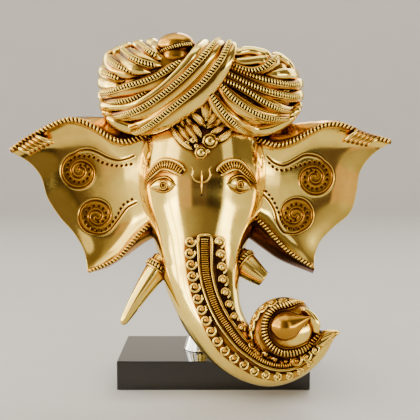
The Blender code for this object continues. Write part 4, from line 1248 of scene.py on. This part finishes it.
def brass_material():
    """Polished cast brass.

    Cast, filed and buffed, then left to tone in its recesses: a warm mirror with slight
    waves from the buffing wheel, orange-brown where the wheel can't reach, and near-black
    at the bottom of punched marks. The orange-brown of the recesses is also painted shade,
    darker the more closed in a place is.
    """
    made = bpy.data.materials.get("polished_cast_brass")
    if made:
        return made
    colours = bpy.context.scene.mask_finishes
    made, tree, shader, place = new_finish("polished_cast_brass")
    recess = add_node(tree, "ShaderNodeAttribute", attribute_name="recess")
    carved = add_node(tree, "ShaderNodeAttribute", attribute_name="carved")
    # Painted shade: the colour darkens where short rays found the place closed in, on top of the
    # toning of the recesses
    aged_and_shaded = add_node(tree, "ShaderNodeMapRange", {
        "Value": recess.outputs["Fac"], "From Min": 0.15, "From Max": 0.62, "To Min": 0.0,
        "To Max": 0.92}, interpolation_type="SMOOTHSTEP")
    # Cloudy toning about 18 mm across
    cloud = add_node(tree, "ShaderNodeTexNoise", {
        "Vector": place, "Scale": 55.0, "Detail": 4.0, "Roughness": 0.55})
    drift = add_node(tree, "ShaderNodeMapRange", {
        "Value": cloud.outputs["Fac"], "From Min": 0.35, "From Max": 0.75, "To Min": 0.0,
        "To Max": 0.10})
    amount = add_node(tree, "ShaderNodeMath", {0: aged_and_shaded, 1: drift}, operation="ADD",
                      use_clamp=True)
    both = add_node(tree, "ShaderNodeMath", {0: amount, 1: carved.outputs["Fac"]},
                    operation="ADD", use_clamp=True)
    blended = ramp_of(tree, both, (
        (0.0, colours.brass), (0.28, colours.half_way), (0.62, colours.patina),
        (1.0, colours.ground)))
    # Fine scratches of the buffing wheel, about 1 mm apart
    grain = add_node(tree, "ShaderNodeTexNoise", {
        "Vector": place, "Scale": 700.0, "Detail": 2.0})
    dull = add_node(tree, "ShaderNodeMath", {0: both, 1: 0.22}, operation="MULTIPLY")
    base = add_node(tree, "ShaderNodeMapRange", {
        "Value": grain.outputs["Fac"], "From Min": 0.3, "From Max": 0.7, "To Min": 0.075,
        "To Max": 0.12})
    rough = add_node(tree, "ShaderNodeMath", {0: base, 1: dull}, operation="ADD")
    # Slow waves of a hand-finished casting, about 25 mm across
    wave = add_node(tree, "ShaderNodeTexNoise", {
        "Vector": place, "Scale": 38.0, "Detail": 2.0, "Roughness": 0.4})
    slow = add_node(tree, "ShaderNodeBump", {"Height": wave.outputs["Fac"], "Strength": 0.10,
                                             "Distance": 0.0012})
    fine = add_node(tree, "ShaderNodeBump", {"Height": grain.outputs["Fac"], "Strength": 0.10,
                                             "Distance": 0.0001, "Normal": slow})
    feed(tree, shader, {"Base Color": blended, "Metallic": 1.0, "Roughness": rough,
                        "Normal": fine})
    return made


def chrome_material():
    """Chromed steel.

    Turned, polished and plated: a neutral mirror with the faintest turning lines.
    """
    made, tree, shader, place = new_finish("chromed_steel")
    # Turning lines 1 mm apart
    lines = add_node(tree, "ShaderNodeTexWave", {
        "Vector": place, "Scale": 320.0, "Distortion": 0.6}, bands_direction="Z")
    rough = add_node(tree, "ShaderNodeMapRange", {
        "Value": lines.outputs["Fac"], "To Min": 0.07, "To Max": 0.11})
    feed(tree, shader, {"Base Color": (*bpy.context.scene.mask_finishes.chrome, 1.0),
                        "Metallic": 1.0, "Roughness": rough})
    return made


def block_material():
    """Blackened steel, ground and waxed.

    Surface ground along its length, then blackened: a dark brown-grey sheen with fine lines.
    """
    made, tree, shader, place = new_finish("blackened_ground_steel")
    # Grinding lines about 0.8 mm apart, drawn along the block
    drawn = add_node(tree, "ShaderNodeMapping", {
        "Vector": place, "Scale": (12.0, 1200.0, 1200.0)})
    lines = add_node(tree, "ShaderNodeTexNoise", {
        "Vector": drawn, "Scale": 1.0, "Detail": 3.0})
    shade = np.array(bpy.context.scene.mask_finishes.block)
    blended = ramp_of(tree, lines.outputs["Fac"], ((0.3, shade * 0.85), (0.7, shade * 1.12)))
    rough = add_node(tree, "ShaderNodeMapRange", {
        "Value": lines.outputs["Fac"], "From Min": 0.3, "From Max": 0.7, "To Min": 0.16,
        "To Max": 0.26})
    feed(tree, shader, {"Base Color": blended, "Metallic": 1.0, "Roughness": rough,
                        "Coat Weight": 1.0, "Coat IOR": 1.55, "Coat Roughness": 0.03})
    return made


# Operators, one for each piece or group of like pieces

class MASK_OT_face_and_trunk(bpy.types.Operator):
    """Make the face, trunk and curl, hollow from behind, with the boss for the rod."""
    bl_idname = "mask.face_and_trunk"
    bl_label = "Face and trunk"

    def execute(self, context):
        sizes = context.scene.mask_sizes
        face = face_and_trunk_mesh(sizes.wall, sizes.fullness)
        add_brass("face_and_trunk", [face])
        add_brass("trunk_curl", [curl_dome_mesh(sizes.wall)])
        top = ROD_TOP + CLEARANCE + sizes.wall
        bore = ROD_RADIUS + CLEARANCE
        profile = [(bore, top - 0.040), (sizes.boss_radius - 0.0006, top - 0.040),
                   (sizes.boss_radius, top - 0.0394), (sizes.boss_radius, top - 0.0006),
                   (sizes.boss_radius - 0.0006, top), (0.0004, top), (0.0004, top - sizes.wall),
                   (bore, top - sizes.wall)]
        boss = loft(turned(profile, 64), round_trip=True)
        half = 0.005
        rib_rings = []
        for z in np.linspace(top - 0.039, top - 0.002, 4):
            rib_rings.append([(-half, -0.0105, z), (half, -0.0105, z), (half, -0.0535, z),
                              (-half, -0.0535, z)])
        add_brass("rod_boss", [boss, loft(rib_rings)])
        return {"FINISHED"}


class MASK_OT_turban(bpy.types.Operator):
    """Make the turban: its bag, the folds over it, their stitched rows and the knot."""
    bl_idname = "mask.turban"
    bl_label = "Turban"

    def execute(self, context):
        sizes = context.scene.mask_cloth
        add_brass("turban_bag", [turban_bag_mesh(0.0032)])
        folds, rims, rails = [], [], []
        section = fold_section()
        for crest, stitched, wraps_start, wraps_end, rows in FOLDS:
            line = fold_line(crest, rows, wraps_start, wraps_end)
            path, half = line[:, :3], line[:, 3]
            height = fold_height(half)
            outs = unit(softened(bag_out(path), 12))
            folds.append(keep_outside(sweep(path, outs, half, height, section)))
            if stitched is None:
                continue
            along = unit(np.gradient(path, axis=0))
            outs = unit(outs - along * np.sum(outs * along, axis=1, keepdims=True))
            side = np.cross(along, outs)
            if side[len(side) // 2, 2] < 0:
                side = -side
            # The row stops where the fold turns to the back
            shown = np.flatnonzero(bag_spread(path[:, 0], path[:, 2]) < 1.0)
            keep = slice(max(4, shown[0]), min(len(path) - 4, shown[-1] + 1))
            reach = np.minimum(sizes.stitch_breadth / 2 / half, 0.5)

            def on_fold(offset):
                share = np.clip(stitched / FOLD_OVERLAP + offset, -0.93, 0.93)
                rise = height * (1 - np.abs(share) ** 2.35) ** (1 / 2.35)
                tilt = (height / half) * np.sign(share) * np.abs(share) ** 1.35
                way = unit(outs + side * np.clip(tilt, -1.2, 1.2)[:, None])
                places = path + side * (share * half)[:, None] + outs * rise[:, None]
                return places[keep], way[keep]

            places, ways = on_fold(np.zeros(len(path)))
            wide = reach[keep] * half[keep]
            rims.append(bar(places, ways, wide, 0.0007, 8, 1.0))
            rails.append((places + ways * 0.0005, ways,
                          np.clip(wide / (sizes.stitch_breadth / 2), 0.3, 1.0)))
            for edge in (-1, 1):
                places, ways = on_fold(edge * reach)
                rims.append(bar(places, ways, sizes.rim, sizes.rim, 8, POLISHED / 2))
        add_brass("turban_folds", folds)
        stitches = beads(rails, sizes.stitch_pitch, 0.00105, sizes.stitch_breadth / 2, 0.0016,
                         0.25)
        add_brass("turban_stitching", [stitches, *rims])
        turns = round_turns(64)
        bun = []
        knot_y = float(bag_y(KNOT_X, KNOT_Z)) + 0.008
        for x, z, wide, tall, deep in ((KNOT_X, 0.3860, 0.0215, 0.0175, 0.016),
                                       (KNOT_X + 0.001, 0.3985, 0.0222, 0.0148, 0.0175)):
            rings = []
            for a in np.linspace(-math.pi / 2 + 0.05, math.pi / 2 - 0.05, 30):
                rings.append(np.column_stack([
                    x + wide * math.cos(a) * np.cos(turns),
                    np.full(len(turns), knot_y - deep * math.sin(a)),
                    z + tall * math.cos(a) * np.sin(turns)]))
            bun.append(toned(keep_outside(loft(rings)), 0.30))
        band, outs = lay(smooth_line(KNOT_BAND, 0.0015, 2), skin_of(bun), 0.0002, shift=0.0)
        bun.append(beads([(band + outs * 0.0004, outs)], 0.0027, 0.0009, 0.0021, 0.0012, 0.2))
        bun.append(bar(band, outs, 0.0024, 0.0007, 8, 0.85))
        add_brass("turban_knot", bun)
        return {"FINISHED"}


class MASK_OT_ears(bpy.types.Operator):
    """Make both ears with their chased spirals, rolled rims and knots."""
    bl_idname = "mask.ears"
    bl_label = "Ears"

    def execute(self, context):
        sizes = context.scene.mask_ears
        for name, ear in (("left", LEFT_EAR), ("right", RIGHT_EAR)):
            mesh = ear_mesh(ear, EAR_SHADE_TONES[name], sizes.sheet, sizes.groove, sizes.dot_pitch)
            add_brass(name + "_ear", [mesh])
            way = 1 if name == "left" else -1
            trim, ribs = [], []
            for rail, size, pitch, slant in (("rim", sizes.roll, sizes.rib_pitch, 0.35),
                                             ("low", sizes.roll * 0.80, sizes.rib_pitch * 0.90,
                                              0.3)):
                line = smooth_line(ear[rail], 0.0015, measured=2)[:-1]
                path = np.column_stack([line[:, 0], np.full(len(line), EAR_RIM_Y), line[:, 1]])
                taper = np.linspace(1.0, 0.72, len(path))
                outs = np.tile(TO_VIEWER, (len(path), 1))
                trim.append(bar(path, outs, size * taper, size * 0.70 * taper, 20, 0.35))
                crest = path + outs * (size * 0.42 * taper)[:, None]
                ribs.append(beads([(crest[2:-2], outs[2:-2], taper[2:-2])], pitch, pitch * 0.33,
                                  size * 1.02, size * 0.62, slant * way))
            start, end = (np.array((x, EAR_RIM_Y, z)) for x, z in ear["knot"])
            axis = unit(end - start)
            side = np.array((axis[2], 0.0, -axis[0]))
            shear = 0.8 * way
            for share in np.linspace(0, 1, 6):
                middle = start + (end - start) * share
                size = 0.0080 * (1 - 0.30 * share)
                turns = round_turns(48)
                spokes = (np.outer(np.cos(turns), side) + np.outer(-0.8 * np.sin(turns), (0, 1, 0))
                          + np.outer(shear * np.cos(turns), axis))
                trim.append(sweep(middle + size * spokes, spokes, 0.0024, 0.0022, circle(12),
                                  round_trip=True))
                trim.append(sweep(middle + (size + 0.0016) * spokes, spokes, 0.0007, 0.0007,
                                  circle(8), round_trip=True))
            core = smooth_line([start, (start + end) / 2, end], 0.0015)
            trim.append(tube(core, np.linspace(0.0068, 0.0046, len(core)), 20))
            add_brass(name + "_ear_trim", trim + ribs)
        return {"FINISHED"}


class MASK_OT_tusks(bpy.types.Operator):
    """Make the long tusk and the broken one, each in its collar."""
    bl_idname = "mask.tusks"
    bl_label = "Tusks"

    def execute(self, context):
        for name, rows, at, girth in (("left_tusk", LEFT_TUSK, 0.13, 0.0150),
                                      ("right_tusk", RIGHT_TUSK, 0.30, 0.0168)):
            line = smooth_line(rows, 0.0012)
            path, radii = line[:, :3], line[:, 3]
            outs = np.tile((0.0, -1.0, 0.25), (len(path), 1))
            turns = round_turns(40)
            keel = 1.0 + 0.10 * np.cos(turns - math.pi / 2) ** 8 - 0.10 * np.exp(
                -((turns - math.pi / 2 - 0.5) / 0.22) ** 2)
            section = circle(len(turns)) * keel[:, None]
            parts = [sweep(path, outs, radii, radii, section)]
            index = int(at * (len(path) - 1))
            axis = path[-1] - path[0]
            ribs = []
            for shift, radius, thick in ((0.0, girth - 0.0010, 0.0026), (0.0036, girth, 0.0011),
                                         (-0.0036, girth, 0.0011)):
                middle = path[index] + unit(axis) * shift
                ring, loop, spokes = ring_round(middle, axis, radius, thick)
                parts.append(toned(ring, 0.6 if shift == 0.0 else 0.0))
                if shift == 0.0:
                    crest = loop + spokes * thick * 0.75
                    closed = np.vstack([crest, crest[:1]])
                    ribs.append(beads([(closed, np.vstack([spokes, spokes[:1]]))], 0.0040,
                                      0.0013, 0.0026, 0.0013, 0.3))
            add_brass(name, parts + ribs)
        return {"FINISHED"}


class MASK_OT_face_relief(bpy.types.Operator):
    """Make the brows, eyes and forked mark on the face."""
    bl_idname = "mask.face_relief"
    bl_label = "Brows, eyes and mark"

    def execute(self, context):
        sizes = context.scene.mask_sizes
        on_face = partial(laid, skin=skin_under("face_and_trunk"), step=0.0010)
        section = np.array([(-1.12, -1.2), (-1.08, 0.15), (-0.98, 0.85), (-0.86, 1.0),
                            (-0.74, 0.75), (-0.66, 0.28), (-0.3, 0.22), (0.0, 0.20),
                            (0.3, 0.22), (0.66, 0.28), (0.74, 0.75), (0.86, 1.0), (0.98, 0.85),
                            (1.08, 0.15), (1.12, -1.2)])
        for index, name in enumerate(("left", "right")):
            rows = [(x, z, b) for (x, z), b in zip(BROWS[index], BROW_BREADTHS)]
            places, outs, line = on_face(rows)
            parts = [sweep(places, outs, line[:, 2], sizes.brow_rise, section),
                     bar(places, outs, line[:, 2] * 0.72, 0.0007, 12, 1.0)]
            keep = slice(6, -3)
            ribs, ways, _ = on_face(rows, lift=0.0006)
            parts.append(beads([(ribs[keep], ways[keep], line[keep, 2] / 0.0066)], 0.0030, 0.0010,
                               0.0046, 0.0015))
            # Each lid or crease, and the dark line under a lid: breadth, height, tone
            for rows, over, least, bars in (
                    (UPPER_LIDS, 8, 0.25, ((0.0012, 0.0014, 0.0), (0.0022, 0.0005, 0.7))),
                    (LOWER_LIDS, 8, 0.25, ((0.0009, 0.0010, 0.0), (0.0017, 0.0004, 0.6))),
                    (CREASES, 10, 0.2, ((0.0011, 0.0007, 0.0),))):
                lid, ways, _ = on_face(rows[index])
                ends = end_taper(len(lid), over, least)
                parts += [bar(lid, ways, wide * ends, high * ends, 10, tone)
                          for wide, high, tone in bars]
            parts.append(self.eye(index, on_face))
            x, z = IRISES[index]
            spot, ways, _ = on_face([(x - 0.0002, z), (x, z), (x + 0.0002, z)])
            centre, way = spot[1], ways[1]
            parts += [toned_ring(centre + way * 0.0013, way, radius, thick, 36, tone)
                      for radius, thick, tone in ((0.0048, 0.0008, 0.0), (0.0038, 0.0007, 0.9),
                                                  (0.0027, 0.0006, 0.0))]
            add_brass(name + "_eye_and_brow", parts)
        fork, ways, _ = on_face(MARK_FORK)
        ends = end_taper(len(fork), 6, 0.3)
        stem, stem_ways, _ = on_face(MARK_STEM)
        thin = np.interp(np.linspace(0, 1, len(stem)), (0, 0.2, 0.7, 1), (0.3, 1, 0.8, 0.35))
        add_brass("forehead_mark", [bar(fork, ways, 0.0010 * ends, 0.0012 * ends),
                                    bar(stem, stem_ways, 0.0010 * thin, 0.0014 * thin),
                                    toned_ring(stem[-1], stem_ways[-1], 0.0004, 0.0009, 16, 1.0)])
        return {"FINISHED"}

    @staticmethod
    def eye(index, on_face):
        """The eyeball's slight swell between the lids, as a closed lens."""
        upper = smooth_line(UPPER_LIDS[index], 0.0015, measured=2)
        count = len(upper)
        lower = smooth_line(LOWER_LIDS[index], 0.0001, measured=2)
        lower = lower[np.linspace(0, len(lower) - 1, count).astype(int)]
        front, back = [], []
        for share in np.linspace(0.02, 0.98, 13):
            line = upper * (1 - share) + lower * share
            places, outs, _ = on_face(line, step=0.0001)
            pick = np.linspace(0, len(places) - 1, count).astype(int)
            swell = math.sin(math.pi * share) * np.sin(np.linspace(0.05, math.pi - 0.05, count))
            front.append(places[pick] + outs[pick] * (0.0015 * swell - 0.0002)[:, None])
            back.append(places[pick] - outs[pick] * 0.0012)
        rows, base = len(front), len(front) * count
        edge = grid_edge(rows, count)
        faces = (grid_faces(rows, count) + grid_faces(rows, count, base, flipped=True)
                 + [(q, p, base + p, base + q) for p, q in zip(edge, edge[1:])])
        return shell_mesh(np.vstack(front + back), faces)


class MASK_OT_crest(bpy.types.Operator):
    """Make the crest of fronds and set stones below the turban's crossing."""
    bl_idname = "mask.crest"
    bl_label = "Crest"

    def execute(self, context):
        on_head = partial(lay, skin=skin_under("face_and_trunk", "turban_bag"))
        section = np.array([(-1.1, -0.8), (-1.05, 0.30), (-0.92, 0.62), (-0.78, 0.60),
                            (-0.66, 0.35), (-0.5, 0.62), (-0.25, 0.86), (0.0, 0.95),
                            (0.25, 0.86), (0.5, 0.62), (0.66, 0.35), (0.78, 0.60),
                            (0.92, 0.62), (1.05, 0.30), (1.1, -0.8)])
        parts, rails = [], []
        for frond in CREST_FRONDS:
            line = smooth_line(frond, 0.0012, measured=2)
            places, outs = on_head(line, lift=0.0012)
            ends = end_taper(len(line), 5, 0.35, start=1)
            parts.append(toned(sweep(places, outs, line[:, 2] * ends, 0.0042 * ends, section),
                               POLISHED * 0.6))
            parts.append(bar(places, outs, line[:, 2] * ends * 1.4, 0.0012, 12, 0.6))
            rails.append((places[2:-2] + outs[2:-2] * 0.0038, outs[2:-2],
                          line[2:-2, 2] / 0.0034))
        parts.append(beads(rails, 0.0018, 0.00055, 0.0020, 0.0006, 0.35))
        for x, z, radius, ringed in CREST_STONES:
            spot, ways = on_head([(x - 0.0002, z), (x, z), (x + 0.0002, z)], lift=0.0030)
            centre = spot[1]
            way = unit(ways[1] + np.array(TO_VIEWER))
            side = unit(np.cross(way, (0.0, 0.0, 1.0)))
            up = np.cross(side, way)
            inner = radius * (0.68 if ringed else 1.0)
            turns = round_turns(36)
            rings = []
            for a in np.linspace(-0.6, math.pi / 2 - 0.05, 14):
                reach = inner * math.cos(a)
                rings.append(centre + np.outer(reach * np.cos(turns), side)
                             + np.outer(reach * np.sin(turns), up)
                             + way * (inner * 0.55 * math.sin(a)))
            parts.append(loft(rings))
            if ringed:
                parts += [toned_ring(centre, way, radius * 0.88, thick, 48)
                          for thick in (radius * 0.14, 0.0006)]
        add_brass("crest", parts)
        return {"FINISHED"}


class MASK_OT_trunk_band(bpy.types.Operator):
    """Make the raised band down the trunk, its rungs and the scrolls on both sides."""
    bl_idname = "mask.trunk_band"
    bl_label = "Trunk band and scrolls"

    def execute(self, context):
        sizes = context.scene.mask_trunk
        on_trunk = partial(laid, skin=skin_under("face_and_trunk", "trunk_curl"), step=0.0015)
        parts = []
        for rim in BAND_RIMS:
            places, outs, _ = on_trunk(rim)
            parts.append(bar(places, outs, sizes.rim, sizes.rim, 12))
            places, outs, _ = on_trunk(rim[1:], lift=0.0002)
            inward = np.cross(unit(np.gradient(places, axis=0)), outs)
            if inward[4, 0] * (1 if rim is BAND_RIMS[0] else -1) < 0:
                inward = -inward
            parts.append(bar(places + inward * 0.0030, outs, 0.0006, 0.0006, 8))
        places, outs, line = on_trunk(BAND_MIDDLE, lift=0.0002)
        parts.append(bar(places, outs, 0.0058 * line[:, 2], 0.0008, 12, 0.55))
        parts.append(beads([(places + outs * 0.0005, outs, line[:, 2])], sizes.rung_pitch, 0.0009,
                           0.0046, 0.0015))
        add_brass("trunk_band", parts)
        left, left_outs, left_line = on_trunk(LEFT_SCROLLS, lift=0.0004)
        right, right_outs, right_line = on_trunk(RIGHT_SCROLLS, lift=0.0004)
        pitch, radius = sizes.scroll_pitch, sizes.scroll_radius
        rows = [bar(left, left_outs, 0.0056 * left_line[:, 2], 0.0006, 12, 0.20),
                bar(right, right_outs, 0.0062 * right_line[:, 2], 0.0006, 12, 0.50),
                scrolls((left, left_outs, left_line[:, 2]), pitch, radius, 0.0024, 0.0014,
                        turns=1.25, slant=1.9),
                scrolls((right, right_outs, right_line[:, 2]), pitch * 1.02, radius * 1.06,
                        0.0040, 0.0016, turns=0.75, slant=0.2, reverse=True)]
        add_brass("trunk_scrolls", rows)
        return {"FINISHED"}


class MASK_OT_curl_details(bpy.types.Operator):
    """Make the ball in the trunk's curl, its ribbed ring, lip, filigree and tip."""
    bl_idname = "mask.curl_details"
    bl_label = "Curl details"

    def execute(self, context):
        on_curl = partial(laid, skin=skin_under("face_and_trunk", "trunk_curl"), step=0.0012)
        front = CURL_Y - CURL_DEPTH
        drop = smooth_line(BALL_SPINE, 0.0008, measured=3)
        spine = np.column_stack([drop[:, 0], np.full(len(drop), front + 0.0045), drop[:, 1]])
        outs = np.tile(TO_VIEWER, (len(drop), 1))
        ball = sweep(spine, outs, drop[:, 2], drop[:, 2] * 0.85, circle(64))
        add_brass("curl_ball", [toned(ball, 0.36)])
        places, outs, line = on_curl(RING_LINE, lift=0.0005)
        taper = np.interp(np.linspace(0, 1, len(line)), (0, 0.12, 0.8, 1), (0.5, 1, 1, 0.5))
        parts = [bar(places, outs, 0.0044 * taper, 0.0030 * taper, 20, 0.6)]
        keep = slice(3, -3)
        raised = places + outs * (0.0020 * taper)[:, None]
        parts.append(beads([(raised[keep], outs[keep], taper[keep])], 0.0033, 0.00115, 0.0046,
                           0.0025, 0.15))
        side = np.cross(unit(np.gradient(places, axis=0)), outs)
        parts += [bar(places + side * (offset * taper)[:, None], outs, 0.0008, 0.0008, 8)
                  for offset in (-0.0052, 0.0052)]
        lip, ways, line = on_curl(LIP_LINE, lift=0.0030)
        parts.append(bar(lip, ways, line[:, 2], line[:, 2] * 0.8 + 0.0015, 24))
        add_brass("curl_ring_and_lip", parts)
        filigree = []
        for rows, turns in zip(CURL_SCROLLS, (1.25, 0.9)):
            places, outs, line = on_curl(rows, lift=0.0005)
            filigree.append(scrolls((places, outs, line[:, 2]), 0.0112, 0.0055, 0.0022, 0.0013,
                                    turns, slant=0.6, stretch=1.10))
        for rows in TIP_RIDGES:
            places, outs, _ = on_curl(rows)
            filigree.append(bar(places, outs, 0.0010, 0.0010, 8))
        turns = np.radians(np.linspace(30, 215, 90))
        places, outs, _ = on_curl(np.column_stack([
            CURL_X + CURL_RIDGE_RADIUS * np.cos(turns),
            CURL_Z + CURL_RIDGE_RADIUS * np.sin(turns)]))
        filigree.append(bar(places, outs, 0.0008, 0.0008, 8))
        for rows in CURL_SCROLLS:
            places, outs, line = on_curl(rows, lift=0.0001)
            filigree.append(bar(places, outs, 0.0054 * line[:, 2], 0.0005, 12, 0.50))
        add_brass("curl_filigree", filigree)
        return {"FINISHED"}


class MASK_OT_stand(bpy.types.Operator):
    """Finish the block, and make the turned foot and the rod."""
    bl_idname = "mask.stand"
    bl_label = "Stand"

    def execute(self, context):
        chrome = chrome_material()
        about_rod = partial(turned, count=96, x=MASK_X, y=ROD_Y)
        lip, bore = 0.0015, ROD_RADIUS + CLEARANCE
        neck = ROD_RADIUS + lip
        profile = [(bore, FOOT_TOP), (neck - 0.0004, FOOT_TOP), (neck, FOOT_TOP - 0.0004)]
        for share in np.linspace(0, 1, 40)[1:-1]:
            profile.append((neck + (FOOT_RADIUS - neck) * share ** 1.35,
                            FOOT_TOP - (FOOT_TOP - FOOT_BOTTOM) * share))
        profile += [(FOOT_RADIUS, FOOT_BOTTOM + 0.0010), (FOOT_RADIUS - 0.0004, FOOT_BOTTOM),
                    (bore, FOOT_BOTTOM)]
        foot = add_piece("turned_foot", [loft(about_rod(profile), round_trip=True)], chrome,
                         moved=False)
        rod = add_piece("rod", [loft(about_rod([
            (ROD_RADIUS - 0.0004, ROD_BOTTOM), (ROD_RADIUS, ROD_BOTTOM + 0.0004),
            (ROD_RADIUS, (ROD_BOTTOM + ROD_TOP) / 2), (ROD_RADIUS, ROD_TOP - 0.0004),
            (ROD_RADIUS - 0.0004, ROD_TOP)]))], chrome, moved=False)
        for thing, node in ((foot, "post_foot"), (rod, "post_rod")):
            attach(thing, "root")
            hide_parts(node)
        block = frame["nodes"]["base_block"]
        finish = block_material()
        for slot in block.material_slots:
            slot.material = finish
        return {"FINISHED"}


class MASK_OT_patina_and_shade(bpy.types.Operator):
    """Feel out the recesses of all the brass, paint shade and toning into them, and hand the
    pieces over.
    """
    bl_idname = "mask.patina"
    bl_label = "Patina and painted shade"

    def execute(self, context):
        verts, faces = joined(bpy.data.objects[name].data for name in BRASS_PIECES)
        around_mesh = bpy.data.meshes.new("around")
        around_mesh.from_pydata(verts, [], faces)
        around = put("around", around_mesh)
        tree = tree_named("recess")
        for name in BRASS_PIECES:
            thing = bpy.data.objects[name]
            old = thing.data
            thing.data = run_tree(thing, tree, {"Around": around, "Reach": 0.010,
                                                "Finish": brass_material()})
            thing.data.name = name
            bpy.data.meshes.remove(old)
            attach(thing, "root")
            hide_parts("mask")
        bpy.data.meshes.remove(around_mesh)
        return {"FINISHED"}


class MASK_OT_studio(bpy.types.Operator):
    """Make the floor, the soft lights and the camera."""
    bl_idname = "mask.studio"
    bl_label = "Studio"

    def execute(self, context):
        settings = context.scene.mask_studio
        scene = context.scene
        mesh = bpy.data.meshes.new("floor")
        # It sweeps up behind the mask, so no edge shows
        arc = [(2.4 + 1.2 * math.sin(a), 1.2 - 1.2 * math.cos(a))
               for a in np.linspace(0, math.pi / 2, 25)]
        rows = [(-6.0, 0.0), *arc, (3.6, 2.4)]
        mesh.from_pydata([(x, y, z - 0.0002) for y, z in rows for x in (-6.0, 6.0)], [],
                         [(2 * k, 2 * k + 1, 2 * k + 3, 2 * k + 2) for k in range(len(rows) - 1)])
        mesh.shade_smooth()
        floor = put("floor", mesh)
        # Matt painted board: an even pale grey with the faint mottle of a roller
        paint, tree, shader, place = new_finish("matt_painted_board")
        mottle = add_node(tree, "ShaderNodeTexNoise", {
            "Vector": place, "Scale": 6.0, "Detail": 3.0})
        shade = np.array(settings.floor)
        blended = ramp_of(tree, mottle.outputs["Fac"], ((0.0, shade * 0.94), (1.0, shade)))
        feed(tree, shader, {"Base Color": blended, "Roughness": 0.55})
        mesh.materials.append(paint)

        def lamp(name, place, target, wide, tall, power, tint="#FFFFFF"):
            data = bpy.data.lights.new(name, "AREA")
            data.shape = "RECTANGLE"
            data.size, data.size_y = wide, tall
            data.energy = power * settings.light
            data.color = linear(tint)
            thing = put(name, data)
            thing.location = place
            thing.rotation_euler = (Vector(target) - Vector(place)).to_track_quat(
                "-Z", "Y").to_euler()
            thing.visible_camera = False

        lamp("left_window", (-1.25, -1.25, 0.75), (0, 0, 0.25), 0.75, 1.5, 10.0, "#FFF9EE")
        lamp("right_window", (1.05, -1.45, 0.70), (0, 0, 0.25), 0.55, 1.4, 3.0, "#FFFDF8")
        lamp("top_light", (0.0, -0.35, 2.0), (0, 0, 0.2), 1.8, 1.2, 9.0)
        lamp("left_back", (-1.7, 0.7, 0.9), (0, 0, 0.25), 0.9, 1.4, 16.0)
        lamp("right_back", (1.7, 0.8, 0.9), (0, 0, 0.25), 0.9, 1.4, 12.0)
        self.surroundings(scene)
        camera = put("camera", bpy.data.cameras.new("camera"))
        camera.data.lens = 60.0
        camera.data.sensor_width = 36.0
        camera.location = (-0.004, -0.854, 0.2742)
        camera.rotation_euler = (math.radians(90.0 - 4.574), 0.0, 0.0)
        scene.camera = camera
        return {"FINISHED"}

    @staticmethod
    def surroundings(scene):
        """A pale room with tall windows to both sides, and its dark depth in front."""
        world = bpy.data.worlds.new("studio_room")
        scene.world = world
        world.use_nodes = True
        tree = world.node_tree
        background = tree.nodes["Background"]
        place = add_node(tree, "ShaderNodeTexCoord")
        parts = add_node(tree, "ShaderNodeSeparateXYZ", {"Vector": place.outputs["Generated"]})
        ahead = add_node(tree, "ShaderNodeMath", {0: parts.outputs["Y"], 1: -1.0},
                         operation="MULTIPLY")
        # Turn from straight ahead of the mask, 0 to 1 for -180 to 180 degrees
        turn = add_node(tree, "ShaderNodeMath", {0: parts.outputs["X"], 1: ahead},
                        operation="ARCTAN2")
        share = add_node(tree, "ShaderNodeMapRange", {
            "Value": turn, "From Min": -math.pi, "From Max": math.pi})

        def band(stops):
            return ramp_of(tree, share, [
                ((degrees + 180) / 360, np.array(shade) / ROOM_STRENGTH)
                for degrees, shade in stops])

        def blend(low, high, start, end):
            amount = add_node(tree, "ShaderNodeMapRange", {
                "Value": parts.outputs["Z"], "From Min": start, "From Max": end},
                interpolation_type="SMOOTHSTEP")
            return add_node(tree, "ShaderNodeMix", {
                "Factor": amount, 6: low, 7: high}, data_type="RGBA").outputs[2]

        seen = blend(band(ROOM_LOW), band(ROOM_HIGH), 0.08, 0.20)
        ceiling = tuple(c / ROOM_STRENGTH for c in ROOM_CEILING)
        seen = blend(seen, (*ceiling, 1.0), 0.70, 0.92)
        camera_ray = add_node(tree, "ShaderNodeLightPath")
        shown = add_node(tree, "ShaderNodeMix", {
            "Factor": camera_ray.outputs["Is Camera Ray"], 6: seen,
            7: (*[c * 1.3 / ROOM_STRENGTH for c in linear("#E9E7E3")], 1.0)}, data_type="RGBA")
        feed(tree, background, {"Color": shown.outputs[2], "Strength": ROOM_STRENGTH})


class MASK_PT_panel(bpy.types.Panel):
    """All the steps and sizes of the mask."""
    bl_label = "Brass mask"
    bl_idname = "MASK_PT_panel"
    bl_space_type = "VIEW_3D"
    bl_region_type = "UI"
    bl_category = "Mask"

    def draw(self, context):
        for group in SETTINGS:
            box = self.layout.box()
            settings = getattr(context.scene, group)
            for name in settings.bl_rna.properties.keys():
                if name not in ("rna_type", "name"):
                    box.prop(settings, name)
        for step in STEPS:
            self.layout.operator(step.bl_idname)


SETTINGS = {"mask_sizes": MaskSizes, "mask_cloth": ClothSizes, "mask_ears": EarSizes,
            "mask_trunk": TrunkSizes, "mask_finishes": Finishes, "mask_studio": StudioSettings}
STEPS = (MASK_OT_studio, MASK_OT_face_and_trunk, MASK_OT_turban, MASK_OT_ears, MASK_OT_tusks,
         MASK_OT_face_relief, MASK_OT_crest, MASK_OT_trunk_band, MASK_OT_curl_details,
         MASK_OT_stand, MASK_OT_patina_and_shade)


def register():
    """Make the settings, steps and panel known."""
    for made in (*SETTINGS.values(), *STEPS, MASK_PT_panel):
        bpy.utils.register_class(made)
    for name, group in SETTINGS.items():
        setattr(bpy.types.Scene, name, bpy.props.PointerProperty(type=group))


def unregister():
    """Take the settings, steps and panel away again."""
    for name in SETTINGS:
        delattr(bpy.types.Scene, name)
    for made in reversed((*SETTINGS.values(), *STEPS, MASK_PT_panel)):
        bpy.utils.unregister_class(made)


def main():
    """Run every step."""
    register()
    for step in STEPS:
        group, name = step.bl_idname.split(".")
        getattr(getattr(bpy.ops, group), name)()


if __name__ == "__main__":
    main()
